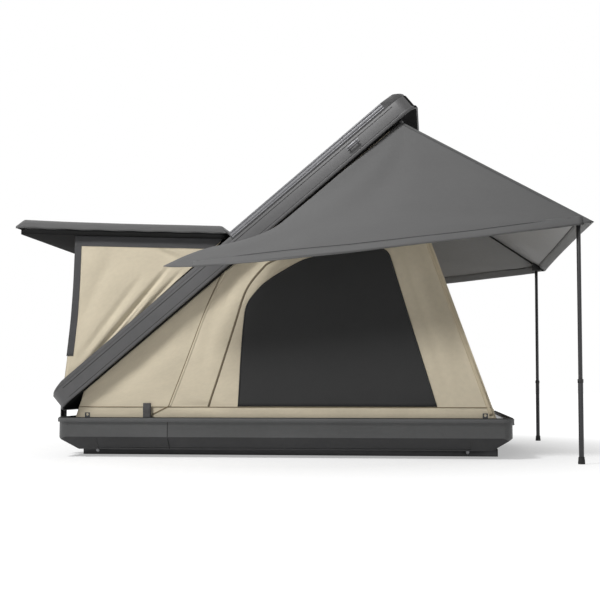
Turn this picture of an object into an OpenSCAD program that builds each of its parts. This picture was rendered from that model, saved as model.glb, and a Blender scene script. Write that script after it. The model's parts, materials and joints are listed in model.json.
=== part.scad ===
// Hard-shell roof top tent, shown open: base tray, wedge lid, rear hatch, canvas walls and awning.
// X runs along the tray from the hinge end, Y away from the viewer, Z up. Millimetres.

/* [Base tray] */
// Length of the tray over its rim
base_l = 2140; // [1900:10:2400]
// Width of the tray over its rim
base_w = 1350; // [1200:10:1500]
// Height of the tray from its underside to the rim
base_h = 147; // [130:1:180]
// Wall of the tray
tray_wall = 6; // [4:1:8]
// Overhang of the rim outside the wall
rim_out = 8; // [5:1:12]
// Height of the rim flange
rim_t = 18; // [12:1:24]
// Corner radius of the tray seen from above
base_corner_r = 60; // [40:5:90]
// Height of the sloping lower part of the wall
slope_h = 60; // [40:5:75]
// How far the end walls slope inwards
end_slope = 95; // [60:5:110]
// How far the side walls slope inwards
side_slope = 45; // [30:5:60]
// Thickness of the floor panel
floor_t = 12; // [8:1:16]
// Thickness of the mattress
mattress_t = 60; // [40:5:65]
// Height of the rubber seal on the rim
seal_h = 4; // [3:1:6]

/* [Mounting rails] */
// Height of the mounting rails
rail_h = 36; // [28:1:45]
// Width of the mounting rails
rail_w = 60; // [50:1:80]
// Length of the mounting rails
rail_l = 2000; // [1700:10:2030]
// Distance between the rails' centre lines
rail_gap = 860; // [700:10:1000]
// Distance between the slots of one rail
slot_gap = 900; // [700:10:1100]
// Width of the slots for the roof bar bolts
slot_w = 9; // [7:1:11]
// Length of the slots
slot_l = 60; // [40:5:90]

/* [Lid] */
// Overhang of the lid past the tray at the hinge end
lid_rear_over = 20; // [15:1:30]
// Overhang of the lid past the tray at the front end
lid_front_over = 30; // [20:1:45]
// Overhang of the lid past the tray at each side
lid_side_over = 6; // [3:1:12]
// Height of the lid's side frame
lid_h = 80; // [70:1:100]
// Wall of the lid's side frame
lid_wall = 5; // [4:1:8]
// Corner radius of the lid seen from above
lid_corner_r = 70; // [50:5:100]
// Angle of the raised lid
open_angle = 40; // [30:1:44]
// Height of the cap over the lower half
cap_h = 20; // [16:1:26]
// Height of the cover over the upper half
cover_h = 38; // [34:1:48]
// Place where the cover starts, measured from the lid hinge
cover_start = 1160; // [1100:5:1220]
// Distance from the hinge axis to the lid's end wall
hinge_out = 22; // [20:1:30]
// Distance of the lid and hatch hinges from the centre line
hinge_y = 450; // [350:10:500]

/* [Hatch] */
// Length of the rear hatch
hatch_l = 1000; // [900:10:1010]
// Thickness of the hatch panel
hatch_t = 22; // [18:1:28]
// Angle between the open hatch and the lid
hatch_open = 42; // [34:1:46]
// Overhang of the hatch past the rear wall
eave = 285; // [200:5:320]

/* [Canvas] */
// Thickness of the canvas solids
cloth_t = 3; // [2:0.5:4]
// Depth of the folds in the walls
fold_depth = 9; // [4:1:14]
// Distance of the side walls inside the tray's edge
wall_inset = 35; // [30:1:115]
// Length of the window along its foot
window_l = 936; // [700:2:1000]
// Height of the window's straight left edge
window_left_h = 420; // [300:10:480]
// Height of the window
window_h = 700; // [500:10:740]

/* [Awning] */
// Distance of the poles from the tray's centre along the tent
pole_x = 1333; // [1250:5:1450]
// Distance of the poles from the centre line
pole_y = 850; // [780:5:900]
// Height of the top of the poles
pole_h = 1045; // [950:5:1100]
// Overhang of the awning past the poles
awning_lip = 60; // [40:5:80]
// Drop of the cloth in the middle of the awning
awning_sag = 45; // [20:5:70]
// Diameter of the lower pole tube
pole_d = 22; // [18:1:26]
// Travel of the telescopic poles
pole_travel = 195; // [150:5:220]

/* [Struts] */
// Diameter of the lid strut cylinders
strut_d = 20; // [16:1:24]
// Diameter of the lid strut rods
strut_rod_d = 10; // [8:1:12]
// Distance of the struts inside the tray's edge
strut_inset = 77; // [75:1:155]

/* [Hidden] */
$fn = 48;

// Gap between soft pieces and what carries them
seat_gap = 0.3;
// Radial clearance of the hinge pins
pin_gap = 0.05;
// Gap between pieces that pass each other
pass_gap = 1;

// Colours
shell_grey = [0.27, 0.27, 0.28];
dark_metal = [0.16, 0.16, 0.17];
bright_metal = [0.75, 0.75, 0.77];
canvas_beige = [0.76, 0.71, 0.61];
awning_grey = [0.46, 0.46, 0.47];
window_dark = [0.2, 0.2, 0.2];
rubber_black = [0.08, 0.08, 0.08];
foam_white = [0.85, 0.84, 0.8];

// Heights of the tray
tray_z = rail_h;
rim_z = tray_z + base_h;
wall_l = base_l - 2 * rim_out;
wall_w = base_w - 2 * rim_out;
inner_l = wall_l - 2 * tray_wall;
inner_w = wall_w - 2 * tray_wall;
floor_l = inner_l - 2 * end_slope;
floor_w = inner_w - 2 * side_slope;
floor_z = tray_z + tray_wall;
mattress_z = floor_z + floor_t;
mattress_margin = 30;
mattress_crown = 18;
floor_corner_r = 20;
bolt_pocket = 2;
seal_w = 10;
seal_inset = 5;
recess_depth = 2.5;
recess_margin = 190;
seam_rear = 540;
seam_x = -base_l / 2 + seam_rear;
seam_w = 3;

// Rail details
rail_wall = 3;
cap_plate_t = 5;
cap_plug_l = 18;
rail_bolt_gap = 600;
rail_bolt_r = 4;
bolt_head_r = 8;
bolt_head_h = 5;
nut_r = 7.5;
nut_h = 6;
bolt_gap = 0.2;
bolt_tip = 4;

// Canvas rails
canopy_rail_h = 6;
canopy_rail_drop = 11;
canopy_rail_top = rim_z - canopy_rail_drop;
canopy_rail_z = canopy_rail_top - canopy_rail_h;
wall_y = base_w / 2 - wall_inset;
wall_hem = 12;
canopy_rail_side = inner_w / 2 - wall_y + wall_hem;
canopy_rail_end = 84;
lid_rail_h = 5;
lid_rail_end = 130;
lid_rail_front = 170;
lid_rail_hem = 8;

// Lid size and hinge axis
lid_l = base_l + lid_rear_over + lid_front_over;
lid_w = base_w + 2 * lid_side_over;
hinge_up = lid_h;
lid_plane_z = rim_z + seal_h;
hinge_x = -base_l / 2 - lid_rear_over - hinge_out;
hinge_z = lid_plane_z + seat_gap + hinge_up;
lid_end = hinge_out + lid_l;
hinge_w = 70;
knuckle_r = 9;
knuckle_w = 20;
hinge_pin_r = 4;
leaf_t = 5;
lid_leaf_h = 60;
lid_leaf_drop = 4;
hinge_foot_up = 8;
hinge_foot_h = 40;
lid_flange_out = 6;
lid_flange_h = 14;
cap_inset = 4;
cap_slope = 88;
cap_edge_h = 2;
opening_start = 135;
opening_end = 1128;
opening_margin = 45;
cover_slope = 112;
cover_shoulder = 48;
cover_shoulder_drop = 5;
cover_edge_h = 10;
cover_t = 4;
track_t = 12;
track_groove = 5;
track_groove_in = 4;
track_edge = 2;
track_start_gap = 5;
track_end_gap = 10;
track_start = cover_start + track_start_gap;
track_end = lid_end - cover_slope - track_end_gap;
track_v = 8;
track_h = cover_h - track_v - track_edge;
track_face = lid_w / 2 - track_edge;
liner_t = 10;
liner_drop = 4;

// Hatch hinge axis, in the lid's own axes
hatch_axis_back = 10;
hatch_axis_up = 8;
hatch_axis_u = cover_start - hatch_axis_back;
hatch_axis_v = cap_h + hatch_axis_up;
hatch_axis = lid_point(hatch_axis_u, hatch_axis_v);
hatch_tilt = open_angle - hatch_open;
hatch_knuckle_r = 7;
hatch_pin_r = 3;
hatch_gap = 10;
hatch_bottom = -7;
hatch_margin = 5;
cover_pad = 12;
hatch_skin = 3;
hatch_rib = 45;
skirt_t = 3;
hatch_corner_r = 30;
hatch_block_w = 60;
hatch_ear = 12;
hatch_arm_t = 8;
notch_side = 15;
hatch_block_y = [-500, 0, 500];
notch_l = 11;

// Lid struts: fixed end on the tray, moving end on the lid
strut_y = base_w / 2 - strut_inset;
strut_base_u = 500;
strut_base_drop = 117;
strut_lid_u = 980;
strut_lid_v = -55;
strut_eye_r = 9;
strut_eye_w = 12;
strut_stud_r = 4;
strut_plate_l = 40;
strut_plate_t = 6;
strut_lid_plate_t = 4;
strut_lid_plate_h = 34;
strut_lid_plate_drop = 14;
strut_lug = 12;
strut_bore_over = 5;
strut_cyl_l = 350;
strut_rod_in = 48;
rod_gap = 0.3;
strut_base = [hinge_x + strut_base_u, hinge_z - strut_base_drop];
strut_top = lid_point(strut_lid_u, strut_lid_v);
strut_len = norm(strut_top - strut_base);
strut_rise = atan2(strut_top[1] - strut_base[1], strut_top[0] - strut_base[0]);
strut_travel = strut_len - norm([hinge_x + strut_lid_u, hinge_z + strut_lid_v] - strut_base);

// Hatch struts: fixed end on the lid cap, moving end under the hatch
hatch_strut_d = 14;
hatch_rod_d = 7;
hatch_strut_u = 880;
hatch_strut_v = 0;
hatch_strut_x = -560;
hatch_strut_z = -18;
hatch_strut_inset = 40;
hatch_strut_y = lid_w / 2 - opening_margin - hatch_strut_inset;
hatch_lug_l = 20;
hatch_lug_w = 10;
hatch_eye_r = 7;
hatch_eye_w = 10;
hatch_stud_r = 3;
hatch_plate_l = 24;
hatch_plate_up = 4;
hatch_cyl_l = 240;
hatch_rod_in = 40;
hatch_strut_base = lid_point(hatch_strut_u, hatch_strut_v);
hatch_strut_top = hatch_point(hatch_strut_x, hatch_strut_z);
hatch_strut_len = norm(hatch_strut_top - hatch_strut_base);
hatch_strut_rise = atan2(hatch_strut_top[1] - hatch_strut_base[1], hatch_strut_top[0] - hatch_strut_base[0]);
hatch_strut_travel = hatch_strut_len
    - norm([hatch_axis_u + hatch_strut_x - hatch_strut_u, hatch_axis_v + hatch_strut_z - hatch_strut_v]);

// Latch at the front end
latch_w = 60;
latch_reach = 14;
latch_drop = 48;
latch_plate_h = 34;
latch_plate_drop = 22;
latch_z = rim_z - latch_drop;
latch_pin_r = 3;
latch_eye_r = 6;
latch_t = 4;
latch_ear = 8;
keeper_h = 10;
keeper_drop = 52;
keeper_reach = 10;
keeper_side = 5;
keeper_face = hinge_x + lid_end;
latch_x = keeper_face + latch_reach;
latch_top = hinge_z - keeper_drop + keeper_h - latch_z;
latch_rest = 220;

// Walls
wall_low_u = 157;
wall_high_inset = 166;
wall_high_u = lid_end - wall_high_inset;
popup_u = 128;
popup_hinge_gap = 30;
popup_hem = 14;
popup_y = lid_w / 2 - opening_margin + popup_hem;
wall_pleats = 6;
wall_rear_in = 6;
wall_front_out = 18;
wall_bottom = canopy_rail_top + seat_gap;
wall_left = -inner_l / 2 + canopy_rail_end + wall_rear_in;
wall_right = inner_l / 2 - canopy_rail_end + wall_front_out;
wall_low = lid_point(wall_low_u, -hinge_up - seat_gap);
wall_high = lid_point(wall_high_u, -hinge_up - seat_gap);
popup_foot = lid_point(popup_u, cap_h + seat_gap);
popup_top = hatch_point(-hatch_gap - hatch_l + eave, hatch_bottom - seat_gap);
popup_hinge_top = hatch_point(-popup_hinge_gap, hatch_bottom - seat_gap);
popup_hinge_foot = lid_point(hatch_axis_u - popup_hinge_gap - hatch_gap, cap_h + seat_gap);
window_front_gap = 275;
window_up = 43;
window_right = wall_right - window_front_gap;
window_x = window_right - window_l;
window_z = rim_z + window_up;
window_lean = 216;
window_shoulder = 321;
window_t = 1.5;

// Small fittings
tie_rear = 154;
tie_front = 133;
tie_out = 14;
tie_up = 26;
tie_x = [-base_l / 2 + tie_rear, base_l / 2 - tie_front];
tie_y = wall_y + tie_out;
tie_w = 24;
tie_h = canopy_rail_drop + tie_up;
tie_hole_drop = 10;
tie_t = 2.5;
tie_hole_r = 6;
tie_clear = 30;
strap_rear = 439;
strap_out = 9;
strap_x = -base_l / 2 + strap_rear;
strap_w = 40;
strap_h = 82;
cleat_inset = 343;
cleat_u = lid_end - cleat_inset;
cleat_v = -26;
cleat_l = 66;
cleat_r = 3.5;
cleat_out = 16;
cleat_post_in = 8;
cleat_post_r = 3;
cleat_plate_over = 4;
cleat_plate_h = 16;
cleat_plate_t = 2;

// Awning cloth corners
awning_rail_inset = 101;
awning_rail_u = lid_end - awning_rail_inset;
awning_rail_w = 14;
awning_rail_h = 12;
awning_rail_over = 18;
awning_over = 24;
awning_edge_y = wall_y + awning_over;
awning_top = lid_point(awning_rail_u, -hinge_up - awning_rail_h - seat_gap);
corner_out = 45;
corner_drop = 9;
corner_x = pole_x + awning_lip;
corner_y = pole_y + corner_out;
corner_z = pole_h - corner_drop;
wing_u = 1235;
wing_side = 13;
wing_reach = 383;
wing_out = 200;
wing_drop = 125;
wing_start = lid_point(wing_u, -hinge_up - awning_rail_h - seat_gap);
wing_start_y = lid_w / 2 + lid_flange_out + wing_side;
wing_tip = [wing_start[0] - wing_reach, -wing_start_y - wing_out, wing_start[1] - wing_drop];
wing_sag = 18;
wing_gap = 0.5;
awning_slope = (corner_z - awning_top[1]) / (corner_x - awning_top[0]);

// Poles
pole_wall = 1.5;
pole_slide_gap = 0.3;
foot_r = 15;
foot_h = 30;
foot_sole = 6;
foot_lip = 2;
foot_clear = 60;
pole_overlap = 100;
pole_lower_top = foot_clear + pole_travel + pole_overlap;
clamp_t = 1.5;
clamp_h = 16;
clamp_r = pole_d / 2 + clamp_t;
upper_d = pole_d - 2 * pole_wall - 2 * pole_slide_gap;
spigot_d = 10;
spigot_h = 15;
pole_plug = 20;
head_l = 44;
head_w = 34;
head_gap = 2;
head_bottom = pole_h - spigot_h;
head_top = corner_z - awning_lip * awning_slope - cloth_t - head_gap;

// Place of a point given along the lid (u) and square to it (v), as [x, z]
function lid_point(u, v) = [hinge_x + u * cos(open_angle) - v * sin(open_angle),
    hinge_z + u * sin(open_angle) + v * cos(open_angle)];
// Place of a point given in the hatch's own axes, as [x, z]
function hatch_point(x, z) = [hatch_axis[0] + x * cos(hatch_tilt) - z * sin(hatch_tilt),
    hatch_axis[1] + x * sin(hatch_tilt) + z * cos(hatch_tilt)];

// Moves children from the lid's own axes to their place
module on_lid() {
    translate([hinge_x, 0, hinge_z]) rotate([0, -open_angle, 0]) children();
}

// Moves children from the hatch's own axes to their place
module on_hatch() {
    translate([hatch_axis[0], 0, hatch_axis[1]]) rotate([0, -hatch_tilt, 0]) children();
}

// Draws children on both sides of the centre plane
module both_sides() {
    children();
    mirror([0, 1, 0]) children();
}

module rounded_rect(l, w, r) {
    square([l - 2 * r, w], center = true);
    square([l, w - 2 * r], center = true);
    for (x = [-1, 1], y = [-1, 1])
        translate([x * (l / 2 - r), y * (w / 2 - r)]) circle(r = r, $fn = 64);
}

// Bar along Y, centred on the XZ origin
module bar_y(r, w) {
    rotate([90, 0, 0]) cylinder(r = r, h = w, center = true);
}

// Prism along Y from an outline in X and Z
module prism_y(w) {
    translate([0, w / 2, 0]) rotate([90, 0, 0]) linear_extrude(w) children();
}

// Prism along X from an outline in Y and Z
module prism_x(l) {
    translate([-l / 2, 0, 0]) rotate([90, 0, 90]) linear_extrude(l) children();
}

// Closed solid between two faces of one grid. Seen from outside, rows run right and columns up
module padded(outer, inner) {
    rows = len(outer);
    cols = len(outer[0]);
    count = rows * cols;
    points = [for (row = outer, p = row) p, for (row = inner, p = row) p];
    function at(i, j) = i * cols + j;
    front = [for (i = [0 : rows - 2], j = [0 : cols - 2])
        each [[at(i, j), at(i, j + 1), at(i + 1, j + 1)], [at(i, j), at(i + 1, j + 1), at(i + 1, j)]]];
    back = [for (f = front) [f[2] + count, f[1] + count, f[0] + count]];
    border = concat(
        [for (j = [0 : cols - 2]) at(0, j)], [for (i = [0 : rows - 2]) at(i, cols - 1)],
        [for (j = [cols - 1 : -1 : 1]) at(rows - 1, j)], [for (i = [rows - 1 : -1 : 1]) at(i, 0)]);
    last = len(border) - 1;
    edge = [for (k = [0 : last])
        let (a = border[k], b = border[k == last ? 0 : k + 1])
        each [[b, a, a + count], [b, a + count, b + count]]];
    polyhedron(points, concat(front, back, edge));
}

// Cloth of even thickness behind an outer face
module cloth(outer, offset) {
    padded(outer, [for (row = outer) [for (p = row) p + offset]]);
}

// Point between four corners, with s along the first edge and t towards the second
function patch(a, b, c, d, s, t) = (a * (1 - s) + b * s) * (1 - t) + (c * (1 - s) + d * s) * t;
// Bulge that is 0 on all four edges
function bulge(s, t) = 16 * s * (1 - s) * t * (1 - t);
// Ridges that fan out towards one edge and fade at the others
function ridges(s, t, n) = (1 - cos(360 * n * s)) / 2 * sin(180 * t);

// Base

module tray_outline(l, w, r, z, drop_end, drop_side, h) {
    intersection() {
        translate([0, 0, z]) linear_extrude(h) rounded_rect(l, w, r);
        prism_y(w) polygon([[-l / 2, z + h], [-l / 2, z + slope_h], [-l / 2 + drop_end, z],
            [l / 2 - drop_end, z], [l / 2, z + slope_h], [l / 2, z + h]]);
        prism_x(l) polygon([[-w / 2, z + h], [-w / 2, z + slope_h], [-w / 2 + drop_side, z],
            [w / 2 - drop_side, z], [w / 2, z + slope_h], [w / 2, z + h]]);
    }
}

module rail_bolt_places() {
    for (x = [-1, 1], y = [-1, 1])
        translate([x * rail_bolt_gap, y * rail_gap / 2, 0]) children();
}

// Shallow step in the sloping part of the side wall
module slope_recess() {
    slope_len = norm([side_slope, slope_h]);
    slope_angle = atan2(side_slope, slope_h);
    translate([0, -wall_w / 2 + side_slope, tray_z]) rotate([slope_angle, 0, 0])
        translate([-wall_l / 2 + recess_margin, -recess_depth, slope_len * 0.12])
            cube([wall_l - 2 * recess_margin, recess_depth * 2, slope_len * 0.76]);
}

module base_tray() {
    color(shell_grey) difference() {
        union() {
            tray_outline(wall_l, wall_w, base_corner_r - rim_out, tray_z, end_slope, side_slope, base_h);
            translate([0, 0, rim_z - rim_t]) linear_extrude(rim_t)
                rounded_rect(base_l, base_w, base_corner_r);
        }
        tray_outline(inner_l, inner_w, base_corner_r - rim_out - tray_wall, floor_z,
            end_slope, side_slope, base_h);
        both_sides() slope_recess();
        both_sides() translate([seam_x, -wall_w / 2 - 1, tray_z + slope_h])
            cube([seam_w, 3, base_h - slope_h - rim_t]);
        rail_bolt_places() translate([0, 0, tray_z - 1])
            cylinder(r = rail_bolt_r + bolt_gap, h = tray_wall + 2);
    }
}

module base_rim_seal() {
    color(rubber_black) translate([0, 0, rim_z]) linear_extrude(seal_h) difference() {
        rounded_rect(base_l - 2 * seal_inset, base_w - 2 * seal_inset, base_corner_r - seal_inset);
        rounded_rect(base_l - 2 * (seal_inset + seal_w), base_w - 2 * (seal_inset + seal_w),
            base_corner_r - seal_inset - seal_w);
    }
}

module floor_panel() {
    color([0.55, 0.52, 0.45]) difference() {
        translate([0, 0, floor_z]) linear_extrude(floor_t) rounded_rect(floor_l, floor_w, floor_corner_r);
        rail_bolt_places() translate([0, 0, floor_z - 1])
            cylinder(r = bolt_head_r + bolt_pocket, h = floor_t + 2);
    }
}

// Mattress with a crowned top and drawn-in edges
module mattress() {
    rows = 12;
    cols = 8;
    l = floor_l - mattress_margin;
    w = floor_w - mattress_margin;
    top = [for (i = [0 : rows]) [for (j = [0 : cols])
        [l * (i / rows - 0.5), w * (j / cols - 0.5),
            mattress_z + mattress_t - mattress_crown * (1 - pow(bulge(i / rows, j / cols), 0.25))]]];
    color(foam_white) padded(top, [for (row = top) [for (p = row) [p[0], p[1], mattress_z]]]);
}

module mount_rails() {
    color(dark_metal) both_sides() difference() {
        translate([0, rail_gap / 2, rail_h / 2]) cube([rail_l, rail_w, rail_h], center = true);
        translate([0, rail_gap / 2, rail_h / 2])
            cube([rail_l + 2, rail_w - 2 * rail_wall, rail_h - 2 * rail_wall], center = true);
        for (x = [-1, 1]) translate([x * slot_gap / 2, rail_gap / 2, -1]) {
            for (e = [-1, 1]) translate([e * (slot_l - slot_w) / 2, 0, 0])
                cylinder(d = slot_w, h = rail_wall + 2);
            translate([-(slot_l - slot_w) / 2, -slot_w / 2, 0])
                cube([slot_l - slot_w, slot_w, rail_wall + 2]);
        }
        for (x = [-1, 1]) translate([x * rail_bolt_gap, rail_gap / 2, rail_h - rail_wall - 1])
            cylinder(r = rail_bolt_r + bolt_gap, h = rail_wall + 2);
    }
}

module rail_end_caps() {
    plug_w = rail_w - 2 * rail_wall - 2 * seat_gap;
    plug_h = rail_h - 2 * rail_wall - 2 * seat_gap;
    color(rubber_black) both_sides() for (x = [-1, 1])
        translate([x * rail_l / 2, rail_gap / 2, rail_h / 2]) {
            translate([x * cap_plate_t / 2, 0, 0])
                cube([cap_plate_t, rail_w, rail_h], center = true);
            translate([-x * cap_plug_l / 2, 0, 0]) cube([cap_plug_l, plug_w, plug_h], center = true);
        }
}

module rail_bolts() {
    color(bright_metal) rail_bolt_places() {
        translate([0, 0, rail_h - rail_wall - nut_h - bolt_tip])
            cylinder(r = rail_bolt_r, h = rail_wall + nut_h + bolt_tip + tray_wall);
        translate([0, 0, floor_z]) cylinder(r = bolt_head_r, h = bolt_head_h);
        translate([0, 0, rail_h - rail_wall - nut_h]) cylinder(r = nut_r, h = nut_h, $fn = 6);
    }
}

module canopy_rail() {
    color(dark_metal) translate([0, 0, canopy_rail_z]) linear_extrude(canopy_rail_h) difference() {
        rounded_rect(inner_l, inner_w, base_corner_r - rim_out - tray_wall);
        square([inner_l - 2 * canopy_rail_end, inner_w - 2 * canopy_rail_side], center = true);
    }
}

// Lid hinge

module hinge_base_leaves() {
    foot_z = tray_z + slope_h + hinge_foot_up;
    arm = hinge_z - foot_z;
    reach = -wall_l / 2 - hinge_x;
    color(dark_metal) both_sides() translate([hinge_x, hinge_y, hinge_z]) difference() {
        union() {
            prism_y(hinge_w) polygon([[-leaf_t / 2, 0], [leaf_t / 2, 0], [leaf_t / 2, -arm + leaf_t],
                [reach - leaf_t, -arm + leaf_t], [reach - leaf_t, -arm + hinge_foot_h],
                [reach, -arm + hinge_foot_h], [reach, -arm], [-leaf_t / 2, -arm]]);
            bar_y(knuckle_r, hinge_w);
        }
        cube([3 * knuckle_r, hinge_w - 2 * knuckle_w, 3 * knuckle_r], center = true);
        bar_y(hinge_pin_r + pin_gap, hinge_w + 2);
    }
}

module hinge_lid_leaves() {
    middle = hinge_w - 2 * knuckle_w - 2 * pass_gap;
    color(dark_metal) on_lid() both_sides() translate([0, hinge_y, 0]) difference() {
        union() {
            bar_y(knuckle_r, middle);
            translate([0, -middle / 2, -leaf_t / 2]) cube([hinge_out - leaf_t, middle, leaf_t]);
            translate([hinge_out - leaf_t, -hinge_w / 2, -lid_leaf_h])
                cube([leaf_t, hinge_w, lid_leaf_h - lid_leaf_drop]);
            translate([hinge_out - leaf_t, -middle / 2, -leaf_t]) cube([leaf_t, middle, 1.5 * leaf_t]);
        }
        bar_y(hinge_pin_r + pin_gap, hinge_w + 2);
    }
}

module hinge_pins() {
    color(bright_metal) both_sides() translate([hinge_x, hinge_y, hinge_z]) bar_y(hinge_pin_r, hinge_w);
}

// Lid

module lid_plan(inset) {
    translate([hinge_out + lid_l / 2, 0])
        rounded_rect(lid_l - 2 * inset, lid_w - 2 * inset, lid_corner_r - inset);
}

module lid_frame() {
    color(shell_grey) on_lid() difference() {
        union() {
            translate([0, 0, -hinge_up]) linear_extrude(lid_h) lid_plan(0);
            translate([0, 0, -hinge_up]) linear_extrude(lid_flange_h) lid_plan(-lid_flange_out);
        }
        translate([0, 0, -hinge_up - 1]) linear_extrude(lid_h + 2) lid_plan(lid_wall);
    }
}

module lid_cap() {
    start = hinge_out + cap_inset;
    color(shell_grey) on_lid() difference() {
        intersection() {
            linear_extrude(cap_h) lid_plan(cap_inset);
            prism_y(lid_w) polygon([[start, 0], [start, cap_edge_h], [start + cap_slope, cap_h],
                [cover_start, cap_h], [cover_start, 0]]);
        }
        translate([opening_start, -lid_w / 2 + opening_margin, -1])
            cube([opening_end - opening_start, lid_w - 2 * opening_margin, cap_h + 2]);
    }
}

module cover_body(inset, bottom, top) {
    end = lid_end - cap_inset - inset;
    start = cover_start + seat_gap + inset;
    intersection() {
        translate([0, 0, bottom]) linear_extrude(top - bottom) lid_plan(cap_inset + inset);
        prism_y(lid_w) polygon([[start, bottom], [start, top], [end - cover_slope, top],
            [end - cover_shoulder, top - cover_shoulder_drop], [end, cover_edge_h], [end, bottom]]);
    }
}

module lid_cover() {
    color(shell_grey) on_lid() difference() {
        cover_body(0, 0, cover_h);
        cover_body(cover_t, -1, cover_h - cover_t);
        both_sides() translate([track_start - seat_gap, track_face - track_t - seat_gap, track_v - seat_gap])
            cube([track_end - track_start + 2 * seat_gap, 2 * track_t, track_h + 2 * seat_gap]);
    }
    // Folded edge behind the accessory rails
    color(shell_grey) on_lid() both_sides()
        translate([track_start, track_face - track_t - seat_gap - cover_t, track_v - cover_t])
            cube([track_end - track_start, cover_t, cover_h + cover_t / 2 - track_v]);
}

module accessory_rails() {
    color(bright_metal) on_lid() both_sides() difference() {
        translate([track_start, track_face - track_t, track_v])
            cube([track_end - track_start, track_t, track_h]);
        for (v = [track_h / 4, 3 * track_h / 4])
            translate([track_start - 1, track_face - track_groove_in, track_v + v - track_groove / 2])
                cube([track_end - track_start + 2, 2 * track_groove_in, track_groove]);
    }
}

module lid_liner() {
    color(foam_white) on_lid() translate([0, 0, -liner_t - liner_drop]) linear_extrude(liner_t)
        intersection() {
            lid_plan(lid_wall + seat_gap);
            translate([cover_start, -lid_w / 2]) square([lid_l, lid_w]);
        }
}

module lid_canopy_rail() {
    color(dark_metal) on_lid() difference() {
        translate([0, 0, -hinge_up]) linear_extrude(lid_rail_h) difference() {
            lid_plan(lid_wall);
            translate([hinge_out + lid_rail_end, -wall_y + lid_rail_hem])
                square([lid_l - lid_rail_end - lid_rail_front, 2 * (wall_y - lid_rail_hem)]);
        }
        // Clearance over the tie brackets when the lid is down
        both_sides() for (x = tie_x) translate([x - hinge_x, tie_y, -hinge_up])
            cube([tie_w + tie_clear, tie_clear, 2 * tie_h], center = true);
    }
}

module side_cleats() {
    face = lid_w / 2;
    color(bright_metal) on_lid() both_sides() translate([cleat_u, face, cleat_v]) {
        translate([-cleat_l / 2, cleat_out, 0]) rotate([0, 90, 0]) cylinder(r = cleat_r, h = cleat_l);
        for (x = [-1, 1]) translate([x * (cleat_l / 2 - cleat_post_in), 0, 0])
            rotate([-90, 0, 0]) cylinder(r = cleat_post_r, h = cleat_out);
        translate([-cleat_l / 2 - cleat_plate_over, 0, -cleat_plate_h / 2])
            cube([cleat_l + 2 * cleat_plate_over, cleat_plate_t, cleat_plate_h]);
    }
}

// Latch

module latch_bracket() {
    base = wall_l / 2;
    color(dark_metal) translate([0, 0, latch_z]) difference() {
        union() {
            translate([base, -latch_w / 2, -latch_plate_drop]) cube([latch_t, latch_w, latch_plate_h]);
            for (y = [-1, 1]) translate([0, y * (latch_w / 2 - latch_ear / 2), 0]) {
                translate([base, -latch_ear / 2, -latch_eye_r])
                    cube([latch_x - base, latch_ear, 2 * latch_eye_r]);
                translate([latch_x, 0, 0]) bar_y(latch_eye_r, latch_ear);
            }
        }
        translate([latch_x, 0, 0]) bar_y(latch_pin_r + pin_gap, latch_w + 2);
    }
}

module latch_pin() {
    color(bright_metal) translate([latch_x, 0, latch_z]) bar_y(latch_pin_r, latch_w);
}

// Lever, swung open: it hangs down, tucked towards the tray's sloping end
module latch_lever() {
    inner = latch_w - 2 * latch_ear - 2 * pass_gap;
    color(dark_metal) translate([latch_x, 0, latch_z]) rotate([0, latch_rest, 0]) difference() {
        union() {
            bar_y(latch_eye_r, inner);
            translate([-latch_t / 2, -inner / 2, 0]) cube([latch_t, inner, latch_top + pass_gap + latch_t]);
            translate([-keeper_reach, -inner / 2, latch_top + pass_gap])
                cube([keeper_reach, inner, latch_t]);
        }
        bar_y(latch_pin_r + pin_gap, latch_w);
    }
}

module latch_keeper() {
    width = latch_w - 2 * latch_ear - 2 * keeper_side;
    color(dark_metal) on_lid() translate([lid_end, -width / 2, -keeper_drop])
        cube([latch_x - latch_t / 2 - pass_gap - keeper_face, width, keeper_h]);
}

// Small fittings on the rim

module tie_brackets() {
    color(bright_metal) both_sides() for (x = tie_x) translate([x, tie_y, canopy_rail_top]) difference() {
        translate([-tie_w / 2, -tie_t / 2, 0]) cube([tie_w, tie_t, tie_h]);
        translate([0, 0, tie_h - tie_hole_drop]) bar_y(tie_hole_r, tie_t + 2);
    }
}

module strap_tabs() {
    color([0.29, 0.28, 0.28]) both_sides()
        translate([strap_x - strap_w / 2, wall_y + strap_out, canopy_rail_top + seat_gap])
            cube([strap_w, cloth_t, strap_h]);
}

// Lid struts

module strut_eye(r, w, bore) {
    difference() {
        bar_y(r, w);
        bar_y(bore, w + 2);
    }
}

// Moves children to a strut's lower eye, with X along the strut
module along_strut(base, rise, y) {
    translate([base[0], 0, base[1]]) rotate([0, -rise, 0]) both_sides() translate([0, y, 0]) children();
}

// Eye and tube of a strut, with a bore that takes the rod over its travel
module strut_cylinder(d, l, eye_r, eye_w, stud_r, rod_d, rod_in, travel) {
    start = eye_r - 1;
    strut_eye(eye_r, eye_w, stud_r + pin_gap);
    difference() {
        translate([start, 0, 0]) rotate([0, 90, 0]) cylinder(d = d, h = l);
        translate([start + l - rod_in - travel - strut_bore_over, 0, 0]) rotate([0, 90, 0])
            cylinder(d = rod_d + 2 * rod_gap, h = rod_in + travel + 2 * strut_bore_over);
    }
}

// Rod of a strut, with its eye at the far end
module strut_rod(len, l, eye_r, eye_w, stud_r, rod_d, rod_in) {
    start = eye_r - 1 + l - rod_in;
    translate([len, 0, 0]) strut_eye(eye_r, eye_w, stud_r + pin_gap);
    translate([start, 0, 0]) rotate([0, 90, 0]) cylinder(d = rod_d, h = len - start - eye_r + 1);
}

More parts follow.
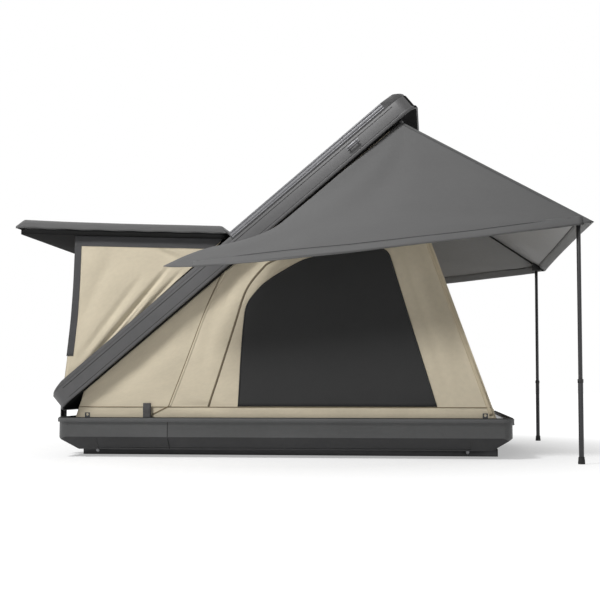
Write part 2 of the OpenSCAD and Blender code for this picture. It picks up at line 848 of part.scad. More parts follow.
module strut_base_brackets() {
    inner = strut_y + strut_d / 2 + pass_gap;
    stud_end = strut_y - strut_eye_w / 2 - 2 * pass_gap;
    color(dark_metal) both_sides() translate([strut_base[0], inner, 0]) {
        translate([-strut_plate_l / 2, 0, canopy_rail_z])
            cube([strut_plate_l, inner_w / 2 - canopy_rail_side - inner, canopy_rail_h]);
        translate([0, strut_plate_t / 2, strut_base[1]]) bar_y(strut_eye_r, strut_plate_t);
        translate([-strut_eye_r, 0, strut_base[1]])
            cube([2 * strut_eye_r, strut_plate_t, canopy_rail_top - strut_base[1]]);
        translate([0, (stud_end - inner) / 2, strut_base[1]]) bar_y(strut_stud_r, inner - stud_end);
    }
}

module strut_cylinders() {
    color(rubber_black) along_strut(strut_base, strut_rise, strut_y)
        strut_cylinder(strut_d, strut_cyl_l, strut_eye_r, strut_eye_w, strut_stud_r, strut_rod_d,
            strut_rod_in, strut_travel);
}

module strut_rods() {
    color(bright_metal) along_strut(strut_base, strut_rise, strut_y)
        strut_rod(strut_len, strut_cyl_l, strut_eye_r, strut_eye_w, strut_stud_r, strut_rod_d, strut_rod_in);
}

module strut_lid_brackets() {
    outer = lid_w / 2 - lid_wall;
    inner = strut_y + strut_eye_w / 2 + pass_gap / 2;
    color(dark_metal) on_lid() both_sides() translate([strut_lid_u, 0, strut_lid_v]) {
        translate([-strut_plate_l / 2, outer - strut_lid_plate_t, -strut_lid_plate_drop])
            cube([strut_plate_l, strut_lid_plate_t, strut_lid_plate_h]);
        translate([-strut_lug / 2, inner, -strut_lug / 2]) cube([strut_lug, outer - inner, strut_lug]);
    }
}

// Hatch

module hatch_panel() {
    width = lid_w - 2 * cap_inset - 2 * hatch_margin;
    color(dark_metal) on_hatch() difference() {
        translate([-hatch_gap - hatch_l / 2, 0, hatch_bottom]) linear_extrude(hatch_t)
            rounded_rect(hatch_l, width, hatch_corner_r);
        // Hollow of the panel, open to the padded skin above
        translate([-hatch_gap - hatch_l / 2, 0, hatch_bottom + hatch_skin]) linear_extrude(hatch_t)
            square([hatch_l - 2 * hatch_rib, width - 2 * hatch_rib], center = true);
        for (y = hatch_block_y) translate([-hatch_gap, y, 0])
            cube([2 * notch_l, hatch_block_w + 2 * notch_side, 4 * hatch_t], center = true);
    }
}

// Fabric skin of the hatch: crowned top and a short skirt round the edge
module hatch_cover() {
    width = lid_w - 2 * cap_inset - 2 * hatch_margin;
    top = hatch_bottom + hatch_t + seat_gap;
    over = 2 * (skirt_t + seat_gap);
    rows = 12;
    cols = 14;
    skin = [for (i = [0 : rows]) [for (j = [0 : cols])
        [-hatch_gap - hatch_l * (1 - i / rows), width * (j / cols - 0.5),
            top + skirt_t + (cover_pad - skirt_t) * sqrt(bulge(i / rows, j / cols))]]];
    flat = [for (row = skin) [for (p = row) [p[0], p[1], top]]];
    color(awning_grey) on_hatch() padded(skin, flat);
    color(awning_grey) on_hatch() translate([-hatch_gap - hatch_l / 2, 0, hatch_bottom])
        linear_extrude(hatch_t + skirt_t) difference() {
            rounded_rect(hatch_l + over, width + over, hatch_corner_r);
            rounded_rect(hatch_l + 2 * seat_gap, width + 2 * seat_gap, hatch_corner_r - skirt_t);
            translate([hatch_l / 2, 0]) square([2 * hatch_corner_r, 2 * width], center = true);
        }
}

module hatch_hinge_blocks() {
    color(dark_metal) on_lid() for (y = hatch_block_y, side = [-1, 1])
        translate([hatch_axis_u, y + side * (hatch_block_w - hatch_ear) / 2, hatch_axis_v]) difference() {
            union() {
                bar_y(hatch_knuckle_r, hatch_ear);
                translate([-hatch_knuckle_r, -hatch_ear / 2, cap_h - hatch_axis_v])
                    cube([2 * hatch_knuckle_r, hatch_ear, hatch_axis_v - cap_h]);
            }
            bar_y(hatch_pin_r + pin_gap, hatch_ear + 2);
        }
}

module hatch_hinge_pin() {
    color(bright_metal) on_lid() for (y = hatch_block_y)
        translate([hatch_axis_u, y, hatch_axis_v]) bar_y(hatch_pin_r, hatch_block_w);
}

module hatch_hinge_leaf() {
    middle = hatch_block_w - 2 * hatch_ear - 2 * pass_gap;
    color(dark_metal) on_hatch() for (y = hatch_block_y) translate([0, y, 0]) difference() {
        union() {
            bar_y(hatch_knuckle_r, middle);
            translate([-hatch_gap - notch_l, -middle / 2, -hatch_arm_t / 2])
                cube([hatch_gap + notch_l, middle, hatch_arm_t]);
        }
        bar_y(hatch_pin_r + pin_gap, middle + 2);
    }
}

module hatch_strut_lid_brackets() {
    edge = lid_w / 2 - opening_margin;
    inner = hatch_strut_y + hatch_strut_d / 2 + pass_gap;
    stud_end = hatch_strut_y - hatch_eye_w / 2 - 2 * pass_gap;
    color(dark_metal) on_lid() both_sides() translate([hatch_strut_u, 0, hatch_strut_v]) {
        translate([-hatch_plate_l / 2, inner, -hatch_eye_r])
            cube([hatch_plate_l, edge - inner, 2 * hatch_eye_r + hatch_plate_up]);
        translate([0, (inner + stud_end) / 2, 0]) bar_y(hatch_stud_r, inner - stud_end);
    }
}

module hatch_strut_brackets() {
    inner = hatch_strut_y + hatch_eye_w / 2 + pass_gap / 2;
    color(dark_metal) on_hatch() both_sides()
        translate([hatch_strut_x - hatch_lug_l / 2, inner, hatch_strut_z - hatch_eye_r])
            cube([hatch_lug_l, hatch_lug_w, hatch_bottom - hatch_strut_z + hatch_eye_r]);
}

module hatch_strut_cylinders() {
    color(rubber_black) along_strut(hatch_strut_base, hatch_strut_rise, hatch_strut_y)
        strut_cylinder(hatch_strut_d, hatch_cyl_l, hatch_eye_r, hatch_eye_w, hatch_stud_r, hatch_rod_d,
            hatch_rod_in, hatch_strut_travel);
}

module hatch_strut_rods() {
    color(bright_metal) along_strut(hatch_strut_base, hatch_strut_rise, hatch_strut_y)
        strut_rod(hatch_strut_len, hatch_cyl_l, hatch_eye_r, hatch_eye_w, hatch_stud_r, hatch_rod_d,
            hatch_rod_in);
}

// Canvas walls

// Folds of a wall at a share s along it and t up it
function fold_wall(s, t) = fold_depth * (0.6 * bulge(s, t) + 0.4 * ridges(s, t, wall_pleats) * pow(s, 4));
function fold_popup(s, t) = fold_depth * bulge(s, t) * (0.5 + 0.5 * (1 - cos(360 * (3 * s + 2 * t))) / 2);

module side_wall_near() {
    rows = 24;
    cols = 9;
    y = -wall_y;
    color(canvas_beige) cloth([for (i = [0 : rows]) [for (j = [0 : cols])
        let (s = i / rows, t = j / cols)
        patch([wall_left, y, wall_bottom], [wall_right, y, wall_bottom],
            [wall_low[0], y, wall_low[1]], [wall_high[0], y, wall_high[1]], s, t)
            + [0, fold_wall(s, t), 0]]], [0, cloth_t, 0]);
}

module side_wall_far() {
    mirror([0, 1, 0]) side_wall_near();
}

module front_wall() {
    rows = 12;
    cols = 8;
    x = cloth_t + 2 * seat_gap;
    y = wall_y;
    color(canvas_beige) cloth([for (i = [0 : rows]) [for (j = [0 : cols])
        let (s = i / rows, t = j / cols)
        patch([wall_right + x, -y, wall_bottom], [wall_right + x, y, wall_bottom],
            [wall_high[0] + x, -y, wall_high[1]], [wall_high[0] + x, y, wall_high[1]], s, t)
            - [fold_depth * bulge(s, t), 0, 0]]], [-cloth_t, 0, 0]);
}

// Outline of the window in X and Z: straight left edge, round shoulder, sloping right edge
module window_outline() {
    polygon(concat(
        [[window_x, window_z], [window_right, window_z], [window_right - window_lean, window_z + window_h]],
        [for (a = [90 : 6 : 180]) [window_x + window_shoulder * (1 + cos(a)),
            window_z + window_left_h + (window_h - window_left_h) * sin(a)]]));
}

module window_near() {
    color(window_dark) translate([0, -wall_y - seat_gap - window_t / 2, 0])
        prism_y(window_t) window_outline();
}

module window_far() {
    mirror([0, 1, 0]) window_near();
}

// Rear pop-up walls under the hatch

module popup_side_near() {
    rows = 14;
    cols = 9;
    y = -popup_y;
    color(canvas_beige) cloth([for (i = [0 : rows]) [for (j = [0 : cols])
        let (s = i / rows, t = j / cols)
        patch([popup_foot[0], y, popup_foot[1]], [popup_hinge_foot[0], y, popup_hinge_foot[1]],
            [popup_top[0], y, popup_top[1]], [popup_hinge_top[0], y, popup_hinge_top[1]], s, t)
            + [0, fold_popup(s, t), 0]]], [0, cloth_t, 0]);
}

module popup_side_far() {
    mirror([0, 1, 0]) popup_side_near();
}

module popup_rear_wall() {
    rows = 10;
    cols = 8;
    x = -cloth_t - 2 * seat_gap;
    y = popup_y;
    color(canvas_beige) cloth([for (i = [0 : rows]) [for (j = [0 : cols])
        let (s = i / rows, t = j / cols)
        patch([popup_foot[0] + x, y, popup_foot[1]], [popup_foot[0] + x, -y, popup_foot[1]],
            [popup_top[0] + x, y, popup_top[1]], [popup_top[0] + x, -y, popup_top[1]], s, t)
            + [fold_depth * bulge(s, t), 0, 0]]], [cloth_t, 0, 0]);
}

// Awning

module awning_rail() {
    color(dark_metal) on_lid() translate([awning_rail_u, 0, -hinge_up - awning_rail_h / 2])
        cube([awning_rail_w, 2 * (wall_y + awning_rail_over), awning_rail_h], center = true);
}

// Height of the awning's cloth at a share s from near to far and t from the lid to the front
function awning_point(s, t) = patch([awning_top[0], -awning_edge_y, awning_top[1]],
    [awning_top[0], awning_edge_y, awning_top[1]], [corner_x, -corner_y, corner_z],
    [corner_x, corner_y, corner_z], s, t) - [0, 0, awning_sag * bulge(s, t)];

module awning_roof() {
    rows = 12;
    cols = 16;
    color(awning_grey) cloth([for (i = [0 : rows]) [for (j = [0 : cols])
        awning_point(j / cols, i / rows)]], [0, 0, -cloth_t]);
}

module awning_wing_near() {
    rows = 20;
    cols = 8;
    out = cloth_t + wing_gap;
    color(awning_grey) cloth([for (i = [0 : rows]) [for (j = [0 : cols])
        let (s = i / rows, t = j / cols)
        patch([awning_top[0], -awning_edge_y - out, awning_top[1]],
            [wing_start[0], -wing_start_y, wing_start[1]],
            [corner_x, -corner_y - out, corner_z], wing_tip, s, t)
            + [0, wing_sag * bulge(s, t), 0]]], [0, cloth_t, 0]);
}

module awning_wing_far() {
    mirror([0, 1, 0]) awning_wing_near();
}

// Poles

module pole_foot() {
    color(rubber_black) difference() {
        union() {
            cylinder(r = foot_r, h = foot_sole);
            translate([0, 0, foot_sole])
                cylinder(r1 = foot_r, r2 = pole_d / 2 + foot_lip, h = foot_h - foot_sole);
        }
        translate([0, 0, foot_sole]) cylinder(d = pole_d + 2 * pin_gap, h = foot_h);
    }
}

module pole_lower() {
    color(dark_metal) translate([0, 0, foot_sole]) difference() {
        cylinder(d = pole_d, h = pole_lower_top - foot_sole);
        translate([0, 0, -1]) cylinder(d = pole_d - 2 * pole_wall, h = pole_lower_top);
    }
}

module pole_clamp() {
    color(rubber_black) translate([0, 0, pole_lower_top - clamp_h / 2]) difference() {
        cylinder(r = clamp_r, h = clamp_h);
        translate([0, 0, -1]) cylinder(d = pole_d + 2 * pin_gap, h = clamp_h / 2 + 1);
        cylinder(d = upper_d + 2 * pole_slide_gap, h = clamp_h + 1);
    }
}

module pole_upper() {
    tube_bottom = pole_lower_top - pole_overlap;
    tube_top = pole_h - spigot_h;
    color(dark_metal) {
        difference() {
            translate([0, 0, tube_bottom]) cylinder(d = upper_d, h = tube_top - tube_bottom);
            translate([0, 0, tube_bottom - 1])
                cylinder(d = upper_d - 2 * pole_wall, h = tube_top - tube_bottom - pole_plug);
        }
        translate([0, 0, tube_top]) cylinder(d = spigot_d, h = spigot_h);
    }
}

// Block on the spigot, cut to the awning's slope and just clear of its cloth
module pole_head() {
    half = head_l / 2;
    color(rubber_black) difference() {
        prism_y(head_w) polygon([[-half, head_bottom], [half, head_bottom],
            [half, head_top + half * awning_slope], [-half, head_top - half * awning_slope]]);
        translate([0, 0, head_bottom - 1]) cylinder(d = spigot_d + 2 * pin_gap, h = spigot_h + 2);
    }
}

module at_near_pole() {
    translate([pole_x, -pole_y, 0]) children();
}

module at_far_pole() {
    translate([pole_x, pole_y, 0]) children();
}

module near_pole_lower() {
    at_near_pole() pole_lower();
}

module near_pole_clamp() {
    at_near_pole() pole_clamp();
}

module near_pole_foot() {
    at_near_pole() pole_foot();
}

module near_pole_upper() {
    at_near_pole() pole_upper();
}

module near_pole_head() {
    at_near_pole() pole_head();
}

module far_pole_lower() {
    at_far_pole() pole_lower();
}

module far_pole_clamp() {
    at_far_pole() pole_clamp();
}

module far_pole_foot() {
    at_far_pole() pole_foot();
}

module far_pole_upper() {
    at_far_pole() pole_upper();
}

module far_pole_head() {
    at_far_pole() pole_head();
}

base_tray();
base_rim_seal();
floor_panel();
mattress();
mount_rails();
rail_end_caps();
rail_bolts();
canopy_rail();
hinge_base_leaves();
hinge_pins();
strut_base_brackets();
latch_bracket();
latch_pin();
latch_lever();
tie_brackets();
strap_tabs();
side_wall_near();
side_wall_far();
front_wall();
window_near();
window_far();
lid_frame();
lid_cap();
lid_cover();
lid_liner();
lid_canopy_rail();
accessory_rails();
hinge_lid_leaves();
strut_lid_brackets();
latch_keeper();
side_cleats();
hatch_hinge_blocks();
hatch_hinge_pin();
hatch_strut_lid_brackets();
awning_rail();
awning_roof();
awning_wing_near();
awning_wing_far();
popup_side_near();
popup_side_far();
popup_rear_wall();
hatch_panel();
hatch_cover();
hatch_hinge_leaf();
hatch_strut_brackets();
strut_cylinders();
strut_rods();
hatch_strut_cylinders();
hatch_strut_rods();
near_pole_lower();
near_pole_clamp();
near_pole_foot();
near_pole_upper();
near_pole_head();
far_pole_lower();
far_pole_clamp();
far_pole_foot();
far_pole_upper();
far_pole_head();
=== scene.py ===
# %% [markdown]
# # A roof top tent, dressed
# The solids of the tent come from a CAD part: tray, lid, hatch, struts and poles are already in
# their places, in metres. This lesson keeps those that are right, softens their edges, and sews
# the canvas, the awning and the pads that a CAD solid can only hint at.

import json
import math

import bmesh
import bpy
from mathutils import Matrix, Vector, noise


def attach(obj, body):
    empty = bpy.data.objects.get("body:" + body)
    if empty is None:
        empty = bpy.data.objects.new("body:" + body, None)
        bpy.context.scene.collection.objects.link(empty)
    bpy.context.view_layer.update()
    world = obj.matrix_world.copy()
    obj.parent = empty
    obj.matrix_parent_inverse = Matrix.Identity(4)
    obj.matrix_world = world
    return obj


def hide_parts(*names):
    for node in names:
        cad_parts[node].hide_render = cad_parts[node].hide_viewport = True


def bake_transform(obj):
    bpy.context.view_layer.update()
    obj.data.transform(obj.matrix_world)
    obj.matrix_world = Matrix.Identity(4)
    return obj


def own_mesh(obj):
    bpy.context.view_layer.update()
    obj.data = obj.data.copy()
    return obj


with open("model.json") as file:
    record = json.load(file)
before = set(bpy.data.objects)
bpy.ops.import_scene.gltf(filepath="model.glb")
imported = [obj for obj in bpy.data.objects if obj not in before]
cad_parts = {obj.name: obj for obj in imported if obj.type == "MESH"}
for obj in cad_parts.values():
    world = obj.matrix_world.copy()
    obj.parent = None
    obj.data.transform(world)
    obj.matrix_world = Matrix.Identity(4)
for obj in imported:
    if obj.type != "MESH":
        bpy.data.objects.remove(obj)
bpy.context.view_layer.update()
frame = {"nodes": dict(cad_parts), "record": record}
scene = bpy.context.scene
scene.view_settings.view_transform = "Standard"

# %% [markdown]
# ## Camera
# A product photographer stands almost square to the tent, with the lens low, a little above the
# tray's rim. A camera could be aimed by hand in the viewport; here its place, turn and lens are
# written down, so that every render shows the same frame. The small shift slides the picture
# without tilting the upright poles.

# %% Camera
CAMERA_PLACE, CAMERA_LENS, CAMERA_SHIFT = (0.7019, -5.0284, 0.3417), 57.28, (-0.08, 0.05)
CAMERA_UP, CAMERA_TURN = 3.24, 5.08

camera = bpy.data.objects.new("camera", bpy.data.cameras.new("camera"))
scene.collection.objects.link(camera)
camera.location = CAMERA_PLACE
camera.rotation_euler = (math.radians(90 + CAMERA_UP), 0, math.radians(CAMERA_TURN))
camera.data.sensor_width = 36
camera.data.lens = CAMERA_LENS
camera.data.shift_x, camera.data.shift_y = CAMERA_SHIFT
scene.camera = camera
print("camera at", tuple(round(x, 2) for x in camera.location))

# %% [markdown]
# ## Studio
# The tent stands on a pale floor. A strong soft box hangs high in front on the left, a weak one
# fills the front, and a broad one behind lights the far slopes. The floor could be a curved
# backdrop; a flat sheet that fades to white with distance is simpler, and still catches the soft
# shadow under the tray. The sky is white where the camera or a reflection sees it, and dim for the
# rays that light the tent, so the colours aren't washed out.


# %% Shader nodes
def feed(tree, node, feeds):
    """Gives a node's inputs their values, or wires them to the outputs of other nodes."""
    for label, source in feeds.items():
        if isinstance(source, bpy.types.NodeSocket):
            tree.links.new(source, node.inputs[label])
        else:
            node.inputs[label].default_value = source


def add_node(tree, kind, feeds=None, **properties):
    """Adds a shader node, sets its properties, feeds its inputs and gives its outputs."""
    node = tree.nodes.new("ShaderNode" + kind)
    for key, value in properties.items():
        setattr(node, key, value)
    feed(tree, node, feeds or {})
    return node.outputs


def maths(tree, operation, *terms):
    """The output of a sum whose terms are numbers or outputs of other nodes."""
    return add_node(tree, "Math", dict(enumerate(terms)), operation=operation)[0]


def seen_mask(tree):
    """1 for rays of the camera, of gloss and of glass, 0 for the rays that light the object."""
    path = add_node(tree, "LightPath")
    seen = maths(tree, "MAXIMUM", path["Is Camera Ray"], path["Is Glossy Ray"])
    return maths(tree, "MAXIMUM", seen, path["Is Transmission Ray"])


# %% Floor
FLOOR_GREY, FLOOR_GLOW, FLOOR_DROP, FLOOR_HALF = 0.9, 1.15, 0.0006, 30
FADE_FROM, FADE_TO, GLOW_NEAR = 1.1, 2.3, 0.35


def make(name, bm, finish, slot=None, smooth=True):
    """Makes an object from a bmesh, with its finish. The slot is not used."""
    mesh = bpy.data.meshes.new(name)
    bm.to_mesh(mesh)
    bm.free()
    mesh.materials.append(finish)
    if smooth:
        mesh.shade_smooth()
    piece = bpy.data.objects.new(name, mesh)
    scene.collection.objects.link(piece)
    return piece


def floor_finish():
    """Matte under the tent and, for the camera, a white glow that grows with distance."""
    material = bpy.data.materials.new("studio_floor")
    material.use_nodes = True
    tree = material.node_tree
    tree.nodes.clear()
    place = add_node(tree, "TexCoord")["Object"]
    away = add_node(tree, "VectorMath", {0: place}, operation="LENGTH")["Value"]
    limits = {"From Min": FADE_FROM, "From Max": FADE_TO, "To Min": GLOW_NEAR}
    fade = add_node(tree, "MapRange", {"Value": away, **limits})["Result"]
    share = maths(tree, "MULTIPLY", fade, seen_mask(tree))
    matte = add_node(tree, "BsdfDiffuse", {"Color": (*[FLOOR_GREY] * 3, 1)})[0]
    glow = add_node(tree, "Emission", {"Strength": FLOOR_GLOW})[0]
    mix = add_node(tree, "MixShader", {0: share, 1: matte, 2: glow})[0]
    add_node(tree, "OutputMaterial", {"Surface": mix})
    return material


floor_mesh = bmesh.new()
bmesh.ops.create_grid(floor_mesh, x_segments=1, y_segments=1, size=FLOOR_HALF)
bmesh.ops.translate(floor_mesh, verts=floor_mesh.verts, vec=(0, 0, -FLOOR_DROP))
floor = make("floor", floor_mesh, floor_finish(), smooth=False)
print("floor", 2 * FLOOR_HALF, "m wide")

# %% Lamps and sky
LAMPS = {  # place, aim, size and watts
    "key": ((-2.8, -4.0, 5.8), (0.1, 0, 0.6), 1.5, 436),
    "fill": ((-1.0, -5.2, 1.2), (0.1, 0, 0.6), 3.0, 6),
    "back": ((-1.5, 4.2, 3.4), (0, 0, 0.6), 3.0, 60),
}
SKY_LIGHT = 0.14

for name, (place, aim, size, watts) in LAMPS.items():
    lamp = bpy.data.lights.new(name, "AREA")
    lamp.size = size
    lamp.energy = watts
    holder = bpy.data.objects.new(name, lamp)
    holder.location = place
    holder.rotation_euler = (Vector(aim) - Vector(place)).to_track_quat("-Z", "Y").to_euler()
    scene.collection.objects.link(holder)

world = bpy.data.worlds.new("studio")
scene.world = world
world.use_nodes = True
sky = world.node_tree
strength = add_node(sky, "MapRange", {"Value": seen_mask(sky), "To Min": SKY_LIGHT})["Result"]
feed(sky, sky.nodes["Background"], {"Color": (1, 1, 1, 1), "Strength": strength})
print("lamps", list(LAMPS))

# %% [markdown]
# ## Shared effects
# Canvas, awning and webbing are all woven, and every surface is a little uneven in colour. Each of
# these effects could be wired into every material by hand. A node group is built once and then
# dropped into each material with its own values.

# %% Node groups
VECTOR, NUMBER, COLOUR = "NodeSocketVector", "NodeSocketFloat", "NodeSocketColor"


def new_group(name, inputs, outputs):
    """An empty shader group with named sockets, the first of them the place on the surface."""
    group = bpy.data.node_groups.new(name, "ShaderNodeTree")
    for label, kind in {"Vector": VECTOR, **inputs}.items():
        group.interface.new_socket(label, in_out="INPUT", socket_type=kind)
    for label, kind in outputs.items():
        group.interface.new_socket(label, in_out="OUTPUT", socket_type=kind)
    given = group.nodes.new("NodeGroupInput").outputs
    return group, given, group.nodes.new("NodeGroupOutput")


def build_mottle():
    """Two sizes of cloudy noise that move a colour between a dark and a light one."""
    inputs = {"Scale": NUMBER, "Dark": COLOUR, "Light": COLOUR}
    group, given, result = new_group("mottle", inputs, {"Color": COLOUR, "Mask": NUMBER})
    finer, fine_share, low, high = 9.0, 0.35, 0.3, 0.7

    def clouds(scale):
        feeds = {"Vector": given["Vector"], "Scale": scale, "Detail": 4}
        return add_node(group, "TexNoise", feeds)["Fac"]

    broad, fine = clouds(given["Scale"]), clouds(maths(group, "MULTIPLY", given["Scale"], finer))
    average = add_node(group, "Mix", {"Factor": fine_share, "A": broad, "B": fine})["Result"]
    spread = {"Value": average, "From Min": low, "From Max": high}
    mask = add_node(group, "MapRange", spread)["Result"]
    tones = {"Factor": mask, "A": given["Dark"], "B": given["Light"]}
    colour = add_node(group, "Mix", tones, data_type="RGBA")["Result"]
    feed(group, result, {"Color": colour, "Mask": mask})
    return group


def build_weave():
    """Threads that cross over and under, as a height."""
    group, given, result = new_group("weave", {"Threads": NUMBER}, {"Height": NUMBER})
    feeds = {"Vector": given["Vector"], "Scale": given["Threads"]}
    feeds.update({"Distortion": 0.6, "Detail Scale": 2})
    across, along = (add_node(group, "TexWave", feeds, bands_direction=way)["Fac"] for way in "XY")
    feed(group, result, {"Height": maths(group, "MULTIPLY", across, along)})
    return group


def build_grain():
    """Fine pebbles of moulded plastic or powder coat, as a height."""
    group, given, result = new_group("grain", {"Scale": NUMBER}, {"Height": NUMBER})
    feeds = {"Vector": given["Vector"], "Scale": given["Scale"]}
    pebbles = add_node(group, "TexVoronoi", feeds, feature="SMOOTH_F1")["Distance"]
    dust = add_node(group, "TexNoise", {**feeds, "Detail": 3})["Fac"]
    average = add_node(group, "Mix", {"Factor": 0.5, "A": pebbles, "B": dust})["Result"]
    feed(group, result, {"Height": average})
    return group


def build_stitch():
    """Two rows of stitches, near both edges of a strip whose UV map is in metres."""
    group, given, result = new_group("stitch", {"Wide": NUMBER}, {"Mask": NUMBER})
    row_share, half_thread, pitch, stitch_share = 0.78, 0.0006, 0.0045, 0.64
    across, along, _ = add_node(group, "SeparateXYZ", {0: given["Vector"]})
    half = maths(group, "MULTIPLY", given["Wide"], 0.5)
    from_middle = maths(group, "ABSOLUTE", maths(group, "SUBTRACT", across, half))
    row = maths(group, "MULTIPLY", half, row_share)
    from_row = maths(group, "ABSOLUTE", maths(group, "SUBTRACT", from_middle, row))
    in_row = maths(group, "LESS_THAN", from_row, half_thread)
    step = maths(group, "FRACT", maths(group, "DIVIDE", along, pitch))
    in_stitch = maths(group, "LESS_THAN", step, stitch_share)
    feed(group, result, {"Mask": maths(group, "MULTIPLY", in_row, in_stitch)})
    return group


MOTTLE, WEAVE, GRAIN, STITCH = build_mottle(), build_weave(), build_grain(), build_stitch()
print("groups", [g.name for g in (MOTTLE, WEAVE, GRAIN, STITCH)])

# %% [markdown]
# ## Finishes
# The shells are powder-grained charcoal, the canvas a beige cotton weave, the awning a tighter grey
# one with a soft sheen. Every finish is a Principled shader; its plain numbers sit on the shader
# itself, and only what changes over the surface comes through the groups.


# %% Material makers
def use_group(tree, group, vector, **values):
    """Places a group in a material with its own values, and gives its outputs."""
    return add_node(tree, "Group", {"Vector": vector, **values}, node_tree=group)


def shade(colour, factor):
    """A linear colour from sRGB parts, made darker or lighter."""
    linear = [((c + 0.055) / 1.055) ** 2.4 if c > 0.04045 else c / 12.92 for c in colour]
    return (*[c * factor for c in linear], 1)


def new_finish(name, coordinates, colour, clouds, gloss, relief, plain, sewn=0.0, thread=0.0):
    """A material with cloudy colour and gloss, a fine relief, and stitches on a sewn strip."""
    material = bpy.data.materials.new(name)
    material.use_nodes = True
    tree = material.node_tree
    place = add_node(tree, "TexCoord")[coordinates]
    scale, contrast = clouds
    tones = {"Dark": shade(colour, 1 - contrast), "Light": shade(colour, 1 + contrast)}
    mottle = use_group(tree, MOTTLE, place, Scale=scale, **tones)
    dye = mottle["Color"]
    if sewn:
        rows = use_group(tree, STITCH, place, Wide=sewn)
        dyes = {"Factor": rows["Mask"], "A": dye, "B": shade(colour, thread)}
        dye = add_node(tree, "Mix", dyes, data_type="RGBA")["Result"]
    rough, uneven = gloss
    limits = {"To Min": rough - uneven, "To Max": rough + uneven}
    dull = add_node(tree, "MapRange", {"Value": mottle["Mask"], **limits})["Result"]
    group, values, strength, depth = relief
    height = use_group(tree, group, place, **values)["Height"]
    bump = add_node(tree, "Bump", {"Height": height, "Strength": strength, "Distance": depth})
    feeds = {"Base Color": dye, "Roughness": dull, "Normal": bump["Normal"], **plain}
    feed(tree, tree.nodes["Principled BSDF"], feeds)
    return material


def hard(
    name, colour, rough, metal=0.0, grain=700.0, depth=2e-4, scale=5.0, contrast=0.12, shine=0.5
):
    """Plastic, paint or metal: an almost even gloss and a fine grain."""
    relief = (GRAIN, {"Scale": grain}, 0.12, depth)
    plain = {"Metallic": metal, "Specular IOR Level": shine}
    return new_finish(name, "Object", colour, (scale, contrast), (rough, 0.015), relief, plain)


def woven(name, colour, threads, rough, sheen, scale=5.0, contrast=0.08, sewn=0.0, thread=0.6):
    """Cloth: the threads of the weave and a soft sheen."""
    relief = (WEAVE, {"Threads": threads}, 0.2, 4e-4)
    plain = {"Sheen Weight": sheen, "Sheen Roughness": 0.5, "Specular IOR Level": 0.25}
    look = ((scale, contrast), (rough, 0.05), relief, plain)
    return new_finish(name, "UV", colour, *look, sewn, thread)


def grey(tone):
    return (tone, tone, tone)


# %% The finishes of this tent
MOULDED, FINE = 900.0, 1500.0
SHELL = hard("shell_charcoal", (0.285, 0.287, 0.288), 0.48, grain=MOULDED)
SHELL_LOW = hard("shell_lower_band", (0.24, 0.24, 0.243), 0.55, grain=MOULDED, shine=0.2)
LID_SHELL = hard("lid_charcoal", (0.29, 0.288, 0.291), 0.46, grain=MOULDED)
# Near black: the hatch panel's own black plastic, and also painted shade on the lid's end and its
# canopy rail.
BLACK_PANEL_AND_PAINTED_SHADE = hard("black_panel_and_painted_shade", grey(0.13), 0.8, shine=0.03)
DARK_ALLOY = hard("dark_alloy", (0.24, 0.24, 0.245), 0.32, 0.6, FINE, depth=1e-4)
BRIGHT_ALLOY = hard("bright_alloy", (0.51, 0.51, 0.52), 0.4, 0.6, FINE, depth=5e-5)
DARK_STEEL = hard("dark_steel", grey(0.11), 0.45, metal=0.2)
BRIGHT_STEEL = hard("bright_steel", (0.55, 0.55, 0.56), 0.34, 0.9, FINE, depth=5e-5)
CHROME = hard("strut_chrome", (0.8, 0.8, 0.82), 0.14, 1.0, FINE, depth=2e-5)
RUBBER = hard("rubber", grey(0.09), 0.8)
BLACK_PLASTIC = hard("black_plastic", grey(0.1), 0.55)
BOARD = hard("floor_board", (0.6, 0.54, 0.44), 0.6, scale=9.0, contrast=0.2)

TAPE_WIDE, ZIP_WIDE, HEM_WIDE, STRAP_WIDE = 0.02, 0.010, 0.046, 0.038
COATED = {"contrast": 0.06}
ZIPPED = {"scale": 30.0, "sewn": ZIP_WIDE, "thread": 1.6}
CANVAS = woven("canvas_beige", (0.79, 0.748, 0.66), 420.0, 0.85, 0.12)
CANVAS_TAPE = woven(
    "canvas_tape", (0.75, 0.70, 0.60), 600.0, 0.85, 0.1, scale=20.0, sewn=TAPE_WIDE
)
SEAM_THREAD = woven("seam_thread", (0.5, 0.45, 0.36), 900.0, 0.8, 0.1, scale=30.0)
ZIP_TAPE = woven("zip_tape", (0.42, 0.38, 0.31), 700.0, 0.7, 0.1, **ZIPPED)
# The awning's inner face is the same cloth as its outer face, painted a much lighter grey: painted
# light from the floor and through the cloth.
AWNING_UNDERSIDE_PAINTED_LIGHT = woven("awning_inside", grey(0.72), 500.0, 0.6, 0.1, **COATED)
AWNING = woven("awning_grey", grey(0.378), 500.0, 0.7, 0.12, **COATED)
AWNING_HEM = woven("awning_hem", grey(0.378), 500.0, 0.7, 0.12, **COATED, sewn=HEM_WIDE)
# Hems on the inner face are lighter still: a painted highlight along the rolled hem.
INNER_HEM_PAINTED_LIGHT = woven("awning_inside_hem", grey(0.58), 500.0, 0.7, 0.12, **COATED, sewn=HEM_WIDE)
DARK_CLOTH = woven("dark_cloth", (0.27, 0.27, 0.275), 500.0, 0.75, 0.15)
WINDOW = woven("window_cloth", grey(0.19), 700.0, 0.8, 0.08, contrast=0.1)
WEBBING = woven("webbing", (0.29, 0.285, 0.285), 900.0, 0.7, 0.1, scale=40.0, sewn=STRAP_WIDE)
RIDGE_TAPE = woven("ridge_tape", grey(0.12), 900.0, 0.7, 0.1)
